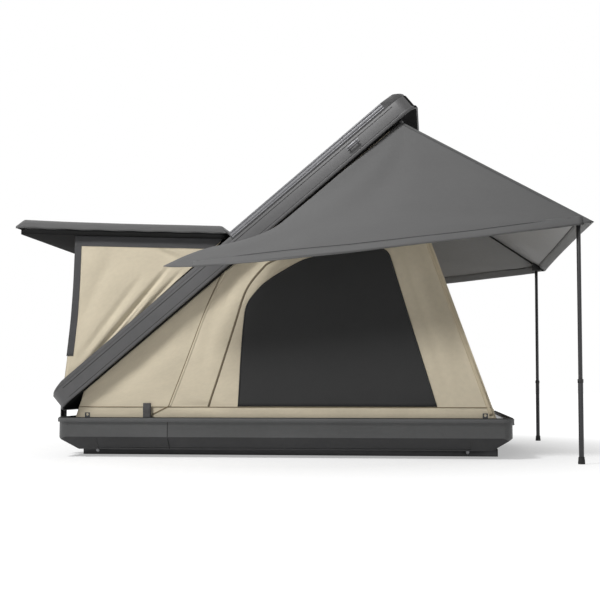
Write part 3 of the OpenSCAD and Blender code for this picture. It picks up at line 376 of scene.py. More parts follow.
# The liner is painted near black: painted shade in the gap under the lid's end, where its underside
# shows.
PAINTED_SHADE_LINER = woven("lid_liner", grey(0.13), 500.0, 0.85, 0.1)
QUILT = woven("mattress_cover", (0.74, 0.73, 0.7), 400.0, 0.9, 0.2)
print("finishes", len(bpy.data.materials))

# %% [markdown]
# ## Hard parts
# The CAD solids have knife edges. A real moulding is rounded, and the thin highlight along its
# edge makes it look solid. The edges could be rounded in CAD; it is lighter to copy the mesh, merge
# its loose triangles and let a Bevel modifier round what is sharp. Small inner fittings stay as
# they are and only take a finish.

# %% Finishes on the fittings that stay
FITTINGS = {
    DARK_ALLOY: "canopy_rail awning_rail",
    # The lid's canopy rail is painted near black: painted shade in the gap at the lid's end.
    BLACK_PANEL_AND_PAINTED_SHADE: "lid_canopy_rail",
    DARK_STEEL: "strut_base_brackets strut_lid_brackets latch_keeper hatch_hinge_blocks "
    "hatch_hinge_leaf hatch_strut_lid_brackets hatch_strut_brackets strut_cylinders "
    "hatch_strut_cylinders",
    BRIGHT_STEEL: "rail_bolts hinge_pins latch_pin hatch_hinge_pin",
    CHROME: "strut_rods hatch_strut_rods",
    BOARD: "floor_panel",
    RUBBER: "base_rim_seal near_pole_foot far_pole_foot",
}
for finish, names in FITTINGS.items():
    for name in names.split():
        node = frame["nodes"][name]
        node.data.materials.clear()
        node.data.materials.append(finish)
print("fittings", sum(len(names.split()) for names in FITTINGS.values()))

# %% Rounded copies of the parts that show
MERGE, FLAT_ENOUGH, SHARP = 1e-5, math.radians(0.5), math.radians(35)


def body_of_node(name):
    bodies = frame["record"]["behaviour"]["bodies"]
    return next(body for body, nodes in bodies.items() if name in nodes)


def rounded(node, finish, width):
    """A merged copy of a CAD node with rounded edges, in place of the node."""
    bm = bmesh.new()
    bm.from_mesh(frame["nodes"][node].data)
    bmesh.ops.remove_doubles(bm, verts=bm.verts, dist=MERGE)
    bmesh.ops.dissolve_limit(bm, angle_limit=FLAT_ENOUGH, verts=bm.verts, edges=bm.edges)
    piece = make(node + "_rounded", bm, finish)
    edge = piece.modifiers.new("edge", "BEVEL")
    edge.width = width
    edge.segments = 2
    edge.limit_method = "ANGLE"
    edge.angle_limit = SHARP
    edge.harden_normals = True
    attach(piece, body_of_node(node))
    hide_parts(node)
    return piece


ROUNDED = [
    (SHELL, 0.003, "base_tray"),
    (LID_SHELL, 0.002, "lid_frame"),
    (LID_SHELL, 0.003, "lid_cap"),
    (LID_SHELL, 0.0025, "lid_cover"),
    (BLACK_PANEL_AND_PAINTED_SHADE, 0.002, "hatch_panel"),
    (BRIGHT_ALLOY, 0.0006, "accessory_rails"),
    (DARK_ALLOY, 0.001, "mount_rails"),
    (RUBBER, 0.0015, "rail_end_caps"),
    (DARK_STEEL, 0.001, "hinge_base_leaves hinge_lid_leaves latch_bracket latch_lever"),
    (DARK_ALLOY, 0.0006, "tie_brackets"),
    (BRIGHT_ALLOY, 0.0006, "side_cleats"),
    (BLACK_PLASTIC, 0.003, "near_pole_head far_pole_head"),
    (BLACK_PLASTIC, 0.0015, "near_pole_clamp far_pole_clamp"),
    (DARK_ALLOY, 0.0005, "near_pole_lower far_pole_lower near_pole_upper far_pole_upper"),
]
hard_parts = {}
for finish, width, names in ROUNDED:
    hard_parts.update({node: rounded(node, finish, width) for node in names.split()})
print("rounded parts", len(hard_parts))

# %% Second finish of the tray's slope, and painted shade on the lid's end
LID_HINGE, LID_ANGLE = Vector((-1.112, 0, 0.2673)), math.radians(40)
LID_ALONG = Vector((math.cos(LID_ANGLE), 0, math.sin(LID_ANGLE)))
SLOPE_TOP, LID_END_FROM = 0.1, 0.3


def paint(piece, finish, test):
    """Gives a second finish to the faces that pass a test; on the lid's end it is painted shade."""
    piece.data.materials.append(finish)
    for face in piece.data.polygons:
        face.material_index = 1 if test(face) else 0


paint(hard_parts["base_tray"], SHELL_LOW, lambda f: f.normal.z < -0.2 and f.center.z < SLOPE_TOP)
# The lid frame's end faces are painted near black: painted shade on the end that faces away from the
# lamps.
paint(
    hard_parts["lid_frame"],
    BLACK_PANEL_AND_PAINTED_SHADE,
    lambda f: abs(f.normal.dot(LID_ALONG)) > 0.8 and f.center.x > LID_END_FROM,
)
print("two finishes on the tray and the lid frame")

# %% [markdown]
# ## Tray joint and rail bolts
# The tray's side is made of two panels that meet in a narrow joint, and bright bolts show on the
# rails under it. The joint follows the upright wall and then the slope, so it is one strip bent at
# that height; a bolt head is a low cone with a bevelled rim.

# %% Joint strips and bolts
SIDES = ("near", "far")
JOINT_X, JOINT_WIDE, JOINT_PROUD, JOINT_THICK = -0.5285, 0.004, 0.0004, 0.0008
TRAY_SIDE = [(0.6672, 0.166), (0.6672, 0.097), (0.6235, 0.0375)]
RAIL_FACE_Y, RAIL_BOLT_X, RAIL_BOLT_Z = 0.4925, (-0.921, 0.862), 0.022
BOLT_RADIUS, BOLT_TOP, BOLT_TALL, BOLT_BEVEL = 0.009, 0.0075, 0.005, 0.001


def join_strip(name, sign):
    """A dark strip down the tray's wall and slope at the joint."""
    bm = bmesh.new()
    bmesh.ops.create_grid(bm, x_segments=1, y_segments=2, size=0.5)
    for v in bm.verts:
        y, z = TRAY_SIDE[round((v.co.y + 0.5) * 2)]
        v.co = (JOINT_X + v.co.x * JOINT_WIDE, sign * (y + JOINT_PROUD), z)
    bmesh.ops.recalc_face_normals(bm, faces=bm.faces)
    bmesh.ops.solidify(bm, geom=bm.faces[:], thickness=JOINT_THICK)
    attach(make(name, bm, RUBBER, "rubber", smooth=False), "base")


def bolt_head(name, place, sign):
    """A bright pan head on the outer face of a mounting rail."""
    bm = bmesh.new()
    radii = {"radius1": BOLT_RADIUS, "radius2": BOLT_TOP}
    bmesh.ops.create_cone(bm, cap_ends=True, segments=24, depth=BOLT_TALL, **radii)
    rim = [e for e in bm.edges if e.calc_face_angle(0) > 0.5]
    bmesh.ops.bevel(
        bm, geom=rim, offset=BOLT_BEVEL, segments=2, profile=0.5, affect="EDGES", material=-1
    )
    turn = Matrix.Rotation(math.radians(90) * -sign, 3, "X")
    bmesh.ops.rotate(bm, verts=bm.verts, cent=(0, 0, 0), matrix=turn)
    bmesh.ops.translate(bm, verts=bm.verts, vec=place)
    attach(make(name, bm, BRIGHT_STEEL, "bright_steel", smooth=False), "base")


for side, sign in zip(SIDES, (-1, 1)):
    join_strip(f"tray_joint_{side}", sign)
    for k, x in enumerate(RAIL_BOLT_X):
        bolt_head(f"rail_side_bolt_{side}_{k}", (x, sign * RAIL_FACE_Y, RAIL_BOLT_Z), sign)
print("rail bolts", len(SIDES) * len(RAIL_BOLT_X))

# %% [markdown]
# ## Sewing tools
# All the cloth starts as a flat grid whose points know their share across (s) and up (t), from 0 to
# 1. A function then says where each share hangs in space, folds included. The grid could be draped
# by a cloth solver; a tent is pulled tight over its frame, so its few folds are drawn where the
# photograph has them. Tapes and hems are strips laid along a row of points. The far side mirrors
# the near side.

# %% Sheets and tapes
CLOTH_THICK, TAPE_THICK, TAPE_COLUMNS = 0.002, 0.0012, 4


def cloth(name, columns, rows, place, size, finish, slot, thickness=CLOTH_THICK):
    """A sheet: place(s, t) says where each share hangs. Its front looks along s x t."""
    bm = bmesh.new()
    uv = bm.loops.layers.uv.new("UVMap")
    bmesh.ops.create_grid(bm, x_segments=columns, y_segments=rows, size=0.5)
    share = {v: (v.co.x + 0.5, v.co.y + 0.5) for v in bm.verts}
    for face in bm.faces:
        for loop in face.loops:
            s, t = share[loop.vert]
            loop[uv].uv = (s * size[0], t * size[1])
    for v, (s, t) in share.items():
        v.co = place(s, t)
    piece = make(name, bm, finish, slot)
    wall = piece.modifiers.new("thickness", "SOLIDIFY")
    wall.thickness = thickness
    wall.offset = -1
    return piece


def tape(name, points, facing, width, lift, finish, slot, thickness=TAPE_THICK):
    """A strip along points that looks along facing and stands proud by lift in its middle."""
    points = [Vector(p) for p in points]
    last = len(points) - 1
    length = sum((b - a).length for a, b in zip(points, points[1:]))

    def place(s, t):
        i = round(t * last)
        way = points[min(i + 1, last)] - points[max(i - 1, 0)]
        look = Vector(facing(i) if callable(facing) else facing)
        side = way.cross(look).normalized()
        return points[i] + side * (s - 0.5) * width + look * lift * (1 - abs(2 * s - 1) ** 3)

    return cloth(name, TAPE_COLUMNS, last, place, (width, length), finish, slot, thickness)


def other_side(point):
    """The same place on the far side of the tent."""
    return Vector((point[0], -point[1], point[2]))


def placed(side, near):
    """A placing function of the near side, or its mirror image."""
    return near if side == "near" else lambda s, t: other_side(near(1 - s, t))


def side_tape(side, name, points, *look):
    """A strip along points of the near side, or its mirror image."""
    if side == "near":
        return tape(name, points, (0, -1, 0), *look)
    return tape(name, [other_side(p) for p in reversed(points)], (0, 1, 0), *look)


# %% Curves and folds
def curve_through(corners, count):
    """Points on a smooth curve through some places x, z (Catmull-Rom)."""
    corners = [Vector((x, 0, z)) for x, z in corners]
    ends = [2 * corners[0] - corners[1], *corners, 2 * corners[-1] - corners[-2]]
    spans = len(corners) - 1
    out = []
    for k in range(count + 1):
        place = min(k / count * spans, spans - 1e-9)
        i = int(place)
        f = place - i
        a, b, c, d = ends[i : i + 4]
        bend, twist = 2 * a - 5 * b + 4 * c - d, 3 * b - a - 3 * c + d
        out.append(0.5 * (2 * b + (c - a) * f + bend * f**2 + twist * f**3))
    return out


def fold(x, z, ax, az, bx, bz, width, depth):
    """Depth of one soft fold that runs from a to b and fades at both ends."""
    length2 = (bx - ax) ** 2 + (bz - az) ** 2
    along = ((x - ax) * (bx - ax) + (z - az) * (bz - az)) / length2
    if not 0 < along < 1:
        return 0.0
    off = abs((x - ax) * (bz - az) - (z - az) * (bx - ax)) / math.sqrt(length2)
    return depth * math.exp(-((off / width) ** 2)) * arch(along) ** 0.7


def ripple(x, z, size, depth, seed):
    """Small uneven waves of loose cloth."""
    return depth * noise.noise(Vector((x / size, z / size, seed)))


def arch(share):
    """0 at both ends of a span and 1 in its middle."""
    return math.sin(math.pi * share)


def between(a, b, share):
    return a + (b - a) * share


def clamp(share):
    return min(max(share, 0), 1)


def steps(count, start=0.0, span=1.0):
    """Even shares from a start, over a span."""
    return [start + span * k / count for k in range(count + 1)]


print("sewing tools ready")

# %% [markdown]
# ## Lines on the lid's side
# The lid's frame is pressed from an extrusion, and two fine grooves run along its side. Cutting
# them would split long faces into slivers; a dark strip a fraction of a millimetre proud reads the
# same.

# %% Lid lines
LID_SIDE_Y, LID_LINES = -0.6812, {"upper": -0.012, "lower": -0.0635}
LINE_FROM, LINE_LONG = 0.1, 2.02
LINE_LOOK = (0.003, 0.0004, RUBBER, "rubber", 0.0008)  # width, lift, finish, slot, thickness


def tilted(axis, angle):
    """A function from the axes of a hinged part to the tent's."""
    c, s = math.cos(angle), math.sin(angle)
    return lambda p: Vector((axis.x + p[0] * c - p[2] * s, p[1], axis.z + p[0] * s + p[2] * c))


on_lid = tilted(LID_HINGE, LID_ANGLE)
for side in SIDES:
    for name, v in LID_LINES.items():
        near = [on_lid((u, LID_SIDE_Y, v)) for u in steps(40, LINE_FROM, LINE_LONG)]
        strip = side_tape(side, f"lid_line_{name}_{side}", near, *LINE_LOOK)
        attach(strip, "lid")
print("lid lines", len(SIDES) * len(LID_LINES))

# %% [markdown]
# ## Main walls
# The side walls hang between the tray and the lid. Each is one wedge of canvas, gathered into
# pleats towards the front edge. The walls could be flat faces, but light that slides over a tight
# cloth shows every shallow fold, so each fold is pressed a few millimetres into the grid.

# %% Side walls
WALL_Y = 0.640
FOOT_LEFT, FOOT_RIGHT, FOOT_Z = -0.983, 0.990, 0.1723
TOP_LEFT, TOP_RIGHT = Vector((-0.9401, 0, 0.3067)), Vector((0.5069, 0, 1.5209))
WALL_FOLDS = [  # x, z of both ends, width, depth
    (0.60, 1.20, 0.86, 0.30, 0.035, 0.008),
    (0.66, 1.05, 0.92, 0.24, 0.022, 0.006),
    (0.56, 1.00, 0.80, 0.22, 0.020, 0.004),
    (-0.30, 0.93, -0.52, 0.22, 0.045, 0.006),
    (-0.26, 0.95, -0.38, 0.40, 0.030, 0.006),
    (-0.20, 0.98, -0.30, 0.60, 0.025, 0.006),
    (-0.50, 0.245, -0.24, 0.232, 0.016, 0.004),
    (-0.85, 0.28, -0.45, 0.62, 0.05, 0.005),
    (0.52, 0.26, 0.80, 0.235, 0.014, 0.003),
]
WALL_SLACK, LEAST_DEPTH = 0.002, 0.0002
BROAD_RIPPLE, FINE_RIPPLE = (0.22, 0.0022, 1.0), (0.08, 0.0008, 4.0)


def near_face(y, folds, slack, *ripples):
    """The outer face of a near wall, as a function of the place x, z and a lift."""

    def at(x, z, lift=0.0):
        depth = sum(fold(x, z, *f) for f in folds)
        depth += slack + sum(ripple(x, z, *r) for r in ripples)
        return Vector((x, -y + max(depth, LEAST_DEPTH) - lift, z))

    return at


near_wall = near_face(WALL_Y, WALL_FOLDS, WALL_SLACK, BROAD_RIPPLE, FINE_RIPPLE)


def near_wall_share(s, t):
    foot_x = between(FOOT_LEFT, FOOT_RIGHT, s)
    top = TOP_LEFT.lerp(TOP_RIGHT, s)
    return near_wall(between(foot_x, top.x, t), between(FOOT_Z, top.z, t))


side_walls = []
for side in SIDES:
    place = placed(side, near_wall_share)
    wall = cloth(f"side_wall_{side}_canvas", 150, 80, place, (1.96, 1.35), CANVAS, "canvas")
    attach(wall, "base")
    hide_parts(f"side_wall_{side}")
    side_walls.append(wall)
print("side walls", [len(w.data.polygons) for w in side_walls])

# %% [markdown]
# ## Seams, zip and window of the side walls
# Two long seams run up from the foot strip, the second one a zip that bends over the window. The
# window is a dark flap with one straight edge, one round shoulder and one edge that leans with the
# wall. A seam could be a line in the bump map; a real strip of tape catches light on its edge and
# stays in the mesh.

# %% Tapes on the walls
TAPE_GAP, TAPE_LIFT = 0.0006, 0.0016
ZIP_LINE = [
    *[(-0.343, 0.2365), (-0.28, 0.43), (-0.2142, 0.639), (-0.1813, 0.7465)],
    *[(-0.148, 0.8127), (-0.0914, 0.88), (-0.0497, 0.9124), (0.08, 0.963)],
]
REAR_SEAM = [(-0.5327, 0.2365), (-0.448, 0.46), (-0.363, 0.688), (-0.275, 0.88)]
REAR_BAND = [(-0.526, 0.2365), (-0.441, 0.459), (-0.356, 0.688), (-0.266, 0.875)]
CORNER_SEAM = [(-0.607, 0.2005), (-0.57, 0.219), (-0.5327, 0.2365)]
WALL_TAPES = [  # name, points, width, finish, places x, z
    ("foot_seam", 160, 0.004, SEAM_THREAD, [(-0.965, 0.2345), (0.0, 0.2345), (0.964, 0.2345)]),
    ("corner_seam", 12, 0.006, SEAM_THREAD, CORNER_SEAM),
    ("rear_band", 80, 0.010, CANVAS, REAR_BAND),
    ("rear_seam", 80, 0.0045, SEAM_THREAD, REAR_SEAM),
    ("zip_line", 130, ZIP_WIDE, ZIP_TAPE, ZIP_LINE),
    ("front_edge", 120, TAPE_WIDE, CANVAS_TAPE, [(0.9655, 0.20), (0.735, 0.845), (0.5, 1.495)]),
]
wall_trims = []
for side in SIDES:
    for name, count, width, finish, corners in WALL_TAPES:
        points = [near_wall(p.x, p.z, TAPE_GAP) for p in curve_through(corners, count)]
        strip = side_tape(side, f"{name}_{side}", points, width, TAPE_LIFT, finish, "canvas")
        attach(strip, "base")
        wall_trims.append(strip)
print("wall tapes", len(wall_trims))

# %% Windows
WINDOW_FOOT, WINDOW_TALL = 0.2375, 0.735
WINDOW_SHOULDER = [
    *[(-0.200, 0), (-0.187, 0.245), (-0.176, 0.39), (-0.163, 0.468), (-0.131, 0.519)],
    *[(-0.065, 0.584), (0.075, 0.666), (0.158, 0.695), (0.29, 0.72), (0.40, 0.735)],
]
WINDOW_LEFT_EDGE = curve_through(WINDOW_SHOULDER, 140)
WINDOW_RIGHT, WINDOW_LEAN, WINDOW_CORNER = 0.717, 0.224, 0.045
WINDOW_FOLDS = [
    (0.15, 0.29, 0.40, 0.275, 0.012, 0.003),
    (0.30, 0.33, 0.52, 0.30, 0.015, 0.003),
    (-0.15, 0.40, 0.25, 0.85, 0.05, 0.003),
    (0.58, 0.30, 0.42, 0.80, 0.04, 0.003),
]
WINDOW_GAP, FOLD_SHARE, ROW_CROWDING = 0.0024, 0.6, 1.6
WINDOW_LOOK = ((0.94, 0.7), WINDOW, "window_cloth", 0.0015)  # size, finish, slot, thickness
BINDING_GAP, BINDING_LOOK = 0.0008, (0.007, 0.0012, WINDOW, "window_cloth")


def window_edges(z):
    """The left and right edge of the window at a height above its foot."""
    edge = WINDOW_LEFT_EDGE
    above = next((i for i, p in enumerate(edge) if p.z > z), len(edge) - 1)
    low, high = edge[max(above - 1, 0)], edge[above]
    share = 0 if high.z == low.z else clamp((z - low.z) / (high.z - low.z))
    turn = clamp((z - WINDOW_TALL + WINDOW_CORNER) / WINDOW_CORNER)
    cut = WINDOW_CORNER * (1 - math.sqrt(1 - turn**2))
    return between(low.x, high.x, share), WINDOW_RIGHT - WINDOW_LEAN * z / WINDOW_TALL - cut


def near_window(s, t):
    """Point of the near window. Its rows crowd towards the top, where the edge bends."""
    tall = WINDOW_TALL * (1 - (1 - t) ** ROW_CROWDING) if t > 0 else 0
    left, right = window_edges(tall)
    x, z = between(left, right, s), WINDOW_FOOT + tall
    puff = sum(fold(x, z, *f) for f in WINDOW_FOLDS) * FOLD_SHARE
    return near_wall(x, z, WINDOW_GAP + puff)


rim = [near_window(0, t) for t in steps(60)] + [near_window(1, t) for t in reversed(steps(60))]
rim = [p + Vector((0, -BINDING_GAP, 0)) for p in rim]
window_pieces = []
for side in SIDES:
    flap = cloth(f"window_{side}_flap", 90, 70, placed(side, near_window), *WINDOW_LOOK)
    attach(flap, "base")
    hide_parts(f"window_{side}")
    binding = side_tape(side, f"window_{side}_binding", rim, *BINDING_LOOK)
    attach(binding, "base")
    window_pieces += [flap, binding]
print("windows", len(window_pieces))

# %% [markdown]
# ## Front wall
# Under the awning the tent is closed by a canvas wall that leans back to the lid's end. It is the
# door side, so it gets a foot seam and three zips. It could be flat; shallow upright waves make it
# hang like cloth.

# %% Front wall
FRONT_GAP, FRONT_HOLLOW, FRONT_WAVE, FRONT_WAVES = 0.0036, 0.012, 0.004, 14
FRONT_LOOK = (0.94, 0, 0.34)


def front_wall(s, t, lift=0.0):
    y = between(-WALL_Y, WALL_Y, s)
    x = between(FOOT_RIGHT, TOP_RIGHT.x, t) + FRONT_GAP
    z = between(FOOT_Z, TOP_RIGHT.z, t)
    pull = FRONT_HOLLOW * arch(s) * arch(t)
    pull += FRONT_WAVE * arch(t) * (0.5 + 0.5 * math.sin(FRONT_WAVES * math.pi * s))
    return Vector((x - pull + lift, y, z + 0.35 * lift))


front = cloth("front_wall_canvas", 90, 80, front_wall, (1.28, 1.43), CANVAS, "canvas")
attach(front, "base")
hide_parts("front_wall")
FRONT_LINES = [
    ("front_foot_seam", [(s, 0.04) for s in steps(60)], 0.012, CANVAS_TAPE),
    ("front_zip", [(0.5, t) for t in steps(80, 0.05, 0.88)], 0.016, ZIP_TAPE),
    ("front_zip_left", [(0.14, t) for t in steps(80, 0.05, 0.8)], 0.012, ZIP_TAPE),
    ("front_zip_right", [(0.86, t) for t in steps(80, 0.05, 0.8)], 0.012, ZIP_TAPE),
]
front_trims = []
for name, shares, width, finish in FRONT_LINES:
    points = [front_wall(s, t, TAPE_GAP) for s, t in shares]
    strip = tape(name, points, FRONT_LOOK, width, TAPE_LIFT, finish, "canvas")
    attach(strip, "base")
    front_trims.append(strip)
print("front wall with", len(front_trims), "tapes")

# %% [markdown]
# ## Pop-up walls under the hatch
# The rear hatch lifts a small canvas room. Its side walls have soft folds that run along the lid,
# because the cloth is only pulled from its two ends. A dark header under the hatch and a dark strip
# down the rear corner could be painted on; as strips of their own they keep a clean edge.

# %% Shape of the pop-up walls
POPUP_Y, REAR_Y, POPUP_BOW = 0.650, 0.647, 0.011
POPUP_FOOT, POPUP_TOP = Vector((-1.02999, 0, 0.36513)), Vector((-0.98486, 0, 1.04596))
HINGE_FOOT, HINGE_TOP = Vector((-0.2930, 0, 1.0015)), Vector((-0.2793, 0, 1.0219))
POPUP_FOLDS = [
    (-0.96, 0.40, -0.53, 0.90, 0.012, 0.017),
    (-0.90, 0.43, -0.47, 0.88, 0.010, 0.012),
    (-0.98, 0.44, -0.66, 0.86, 0.018, 0.008),
    (-0.98, 0.60, -0.80, 0.98, 0.035, 0.006),
    (-0.84, 0.50, -0.64, 0.74, 0.007, 0.008),
    (-0.62, 0.99, -0.42, 0.90, 0.012, 0.008),
]
POPUP_SLACK, POPUP_RIPPLE, REAR_RIPPLE = 0.0015, (0.15, 0.0022, 7.0), (0.25, 0.002, 9.0)
HEADER_TALL, HEADER_PAST, HEADER_CLEAR, HEADER_GAP = 0.048, 0.006, 0.004, 0.0016
CORNER_WIDE, CORNER_FROM, CORNER_PAST, CORNER_GAP = 0.033, 0.16, 0.0068, 0.0014
REAR_HOLLOW = 0.008


near_popup_at = near_face(POPUP_Y, POPUP_FOLDS, POPUP_SLACK, POPUP_RIPPLE)


def near_popup(s, t):
    foot, top = POPUP_FOOT.lerp(HINGE_FOOT, s), POPUP_TOP.lerp(HINGE_TOP, s)
    point = foot.lerp(top, t)
    return near_popup_at(point.x + POPUP_BOW * arch(t) * (1 - s) ** 2, point.z)


def near_header(s, t):
    """Dark band under the hatch: s forward along the wall, t up."""
    top = POPUP_TOP.lerp(HINGE_TOP, -HEADER_PAST + s * (1 + HEADER_PAST))
    along = (top.x - POPUP_FOOT.x) / (HINGE_FOOT.x - POPUP_FOOT.x)
    lid_line = between(POPUP_FOOT.z, HINGE_FOOT.z, along)
    low = max(top.z - HEADER_TALL, lid_line + HEADER_CLEAR)
    return near_popup_at(top.x, between(low, top.z, t), HEADER_GAP)


def near_corner(s, t):
    """Dark strip down the rear edge: s forward from the edge, t up."""
    up = between(CORNER_FROM, 1, t)
    edge = POPUP_FOOT.lerp(POPUP_TOP, up)
    x = edge.x + POPUP_BOW * arch(up) - CORNER_PAST + CORNER_WIDE * s
    return near_popup_at(x, edge.z, CORNER_GAP)


def popup_rear(s, t, lift=0.0):
    foot, top = POPUP_FOOT, POPUP_TOP
    y = between(REAR_Y, -REAR_Y, s)
    pull = REAR_HOLLOW * arch(s) * arch(t)
    pull += ripple(y, t, *REAR_RIPPLE) * arch(t)
    x = between(foot.x, top.x, t) + POPUP_BOW * arch(t) - FRONT_GAP
    return Vector((x + max(pull, 0) - lift, y, between(foot.z, top.z, t)))


print("pop-up room", round(POPUP_TOP.z - POPUP_FOOT.z, 3), "m tall")

# %% Pop-up walls, headers and corner strips
REAR_GAP, REAR_LOOK = 0.001, ((-1, 0, 0.08), 0.04, 0.001, DARK_CLOTH, "awning_cloth")
REAR_HEADER_AT, REAR_CORNER_AT, REAR_CORNER_TALL = 0.955, 0.0155, 0.8
POPUP_STRIPS = [("header", near_header, (0.7, 0.05)), ("corner", near_corner, (0.033, 0.57))]

popup_pieces = []
for side in SIDES:
    place = placed(side, near_popup)
    wall = cloth(f"popup_side_{side}_canvas", 80, 70, place, (0.75, 0.68), CANVAS, "canvas")
    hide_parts(f"popup_side_{side}")
    popup_pieces.append(wall)
    for name, strip, size in POPUP_STRIPS:
        look = (size, DARK_CLOTH, "awning_cloth", TAPE_THICK)
        popup_pieces.append(cloth(f"popup_{name}_{side}", 70, 40, placed(side, strip), *look))
rear = cloth("popup_rear_canvas", 70, 50, popup_rear, (1.3, 0.69), CANVAS, "canvas")
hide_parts("popup_rear_wall")
corner_rows = steps(60, CORNER_FROM, REAR_CORNER_TALL)
rear_lines = {
    "rear_header": [(s, REAR_HEADER_AT) for s in steps(60)],
    "rear_corner_far": [(REAR_CORNER_AT, t) for t in corner_rows],
    "rear_corner_near": [(1 - REAR_CORNER_AT, t) for t in corner_rows],
}
for name, shares in rear_lines.items():
    points = [popup_rear(s, t, REAR_GAP) for s, t in shares]
    popup_pieces.append(tape(f"popup_{name}", points, *REAR_LOOK))
popup_pieces.append(rear)
for piece in popup_pieces:
    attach(piece, "lid")
print("pop-up pieces", len(popup_pieces))

# %% [markdown]
# ## Awning
# The awning is one large sheet: it hangs from a rail under the lid, runs over a ridge on each side
# and comes down as two long wings. Three flat panels would show a gap along each ridge, so the
# sheet is one grid in three strips, near wing, roof and far wing. The middle sags, and the cloth
# pulls into shallow folds towards the pole corners and the wing tips.

# %% Shape of the awning
AWNING_TOP, AWNING_EDGE_Y = Vector((0.56445, 0, 1.55352)), 0.664
CORNER = Vector((1.393, -0.895, 1.036))
WING_TIP = Vector((-0.490, -0.900, 0.865))
WING_START = Vector((-0.1067, -0.700, 0.9905))
AWNING_SAG, WING_SAG, WING_DROOP, WING_CROWN, HEM_CURVE = 0.045, 0.018, 0.026, 0.034, 0.012
ROOF_RIPPLE, WING_RIPPLE = (0.3, 0.003, 12.0), (0.25, 0.003, 15.0)
NEAR_RIDGE = Vector((AWNING_TOP.x, -AWNING_EDGE_Y, AWNING_TOP.z))


def hump(s, t):
    """0 along the border of a panel and 1 in its middle."""
    return 16 * s * (1 - s) * t * (1 - t)


def pull_folds(s, t, corner_s, corner_t, count, depth):
    """Folds that fan out from one corner of a panel and fade away from it."""
    ds, dt = abs(s - corner_s), abs(t - corner_t)
    far = math.hypot(ds, dt)
    turn = math.atan2(dt, ds + 1e-6)
    return depth * math.sin(count * 2 * turn) * far * math.exp(-3.2 * far) * math.sin(2 * turn)


def roof_share(s, t):
    """Point of the awning roof: s from near to far, t from the front hem up to the lid."""
    near = CORNER.lerp(NEAR_RIDGE, t)
    point = near.lerp(other_side(near), s)
    edge = 4 * s * (1 - s)
    drop = AWNING_SAG * hump(s, t)
    drop += (pull_folds(s, t, 0, 0, 5, 0.05) + pull_folds(s, t, 1, 0, 5, 0.05)) * edge * 0.6
    drop += ripple(point.x, point.y, *ROOF_RIPPLE) * hump(s, t)
    hem = HEM_CURVE * edge * (1 - t) ** 6
    return point - Vector((0.6 * hem, 0, drop - hem * 0.2))


def near_wing_share(s, t):
    """Point of the near wing: s from the tip's end to the ridge, t from the hem up to the lid."""
    point = WING_TIP.lerp(CORNER, s).lerp(WING_START.lerp(NEAR_RIDGE, s), t)
    edge = 4 * s * (1 - s)
    sag = WING_SAG * hump(s, t)
    sag += (pull_folds(s, t, 0, 0, 4, 0.05) + pull_folds(s, t, 1, 0, 5, 0.06)) * edge * 0.5
    sag += pull_folds(s, t, 1, 1, 5, 0.05) * edge * 0.5
    sag += ripple(point.x, point.z, *WING_RIPPLE) * edge
    droop = WING_DROOP * arch(s**0.6) * (1 - t) ** 3
    crown = WING_CROWN * arch(t) * (1 - s) ** 4
    return point + Vector((0, 0.85 * sag, -0.5 * sag - droop + crown))


def awning_share(a, t):
    """The whole sheet: a runs over the near wing, the roof and the far wing, 0 to 3."""
    if a <= 1:
        return near_wing_share(a, t)
    if a < 2:
        return roof_share(a - 1, t)
    return other_side(near_wing_share(3 - a, t))


def whole(s, t):
    return awning_share(3 * s, t)


awning = cloth("awning_sheet", 180, 60, whole, (4.6, 0.98), AWNING, "awning_cloth")
# The inner face takes the much lighter grey: painted light on the awning's underside.
awning.data.materials.append(AWNING_UNDERSIDE_PAINTED_LIGHT)
awning.modifiers["thickness"].material_offset = 1
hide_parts("awning_roof", "awning_wing_near", "awning_wing_far")
print("awning area", round(sum(f.area for f in awning.data.polygons), 3))

# %% [markdown]
# ## Hems and ridge tapes of the awning
# Every free edge of the awning is folded over and sewn, and a bound seam runs down each ridge from
# the lid to the pole. They could be drawn in the material; as strips that take their points from
# the sheet they lie on it exactly and bend with it.


# %% Awning tapes
def sheet_normal(a, t):
    step = 1e-3
    a = min(max(a, step), 3 - step)
    t = min(max(t, step), 1 - step)
    across = awning_share(a + step, t) - awning_share(a - step, t)
    up = awning_share(a, t + step) - awning_share(a, t - step)
    return across.cross(up).normalized()


def awning_tape(name, shares, width, lift, finish, under=False, clear=TAPE_GAP):
    """A strip on the outer face of the sheet, or on its inner face."""
    looks = [sheet_normal(a, t) * (-1 if under else 1) for a, t in shares]
    gap = CLOTH_THICK + clear if under else clear
    points = [awning_share(a, t) + look * gap for (a, t), look in zip(shares, looks)]
    return tape(name, points, lambda i: looks[i], width, lift, finish, "awning_cloth")


def row(start, end, above):
    """Shares along the sheet at an even distance above its hem."""
    out = []
    for k in range(91):
        a = between(start, end, k / 90)
        tall = (awning_share(a, 1) - awning_share(a, 0)).length
        out.append((a, above / tall))
    return out


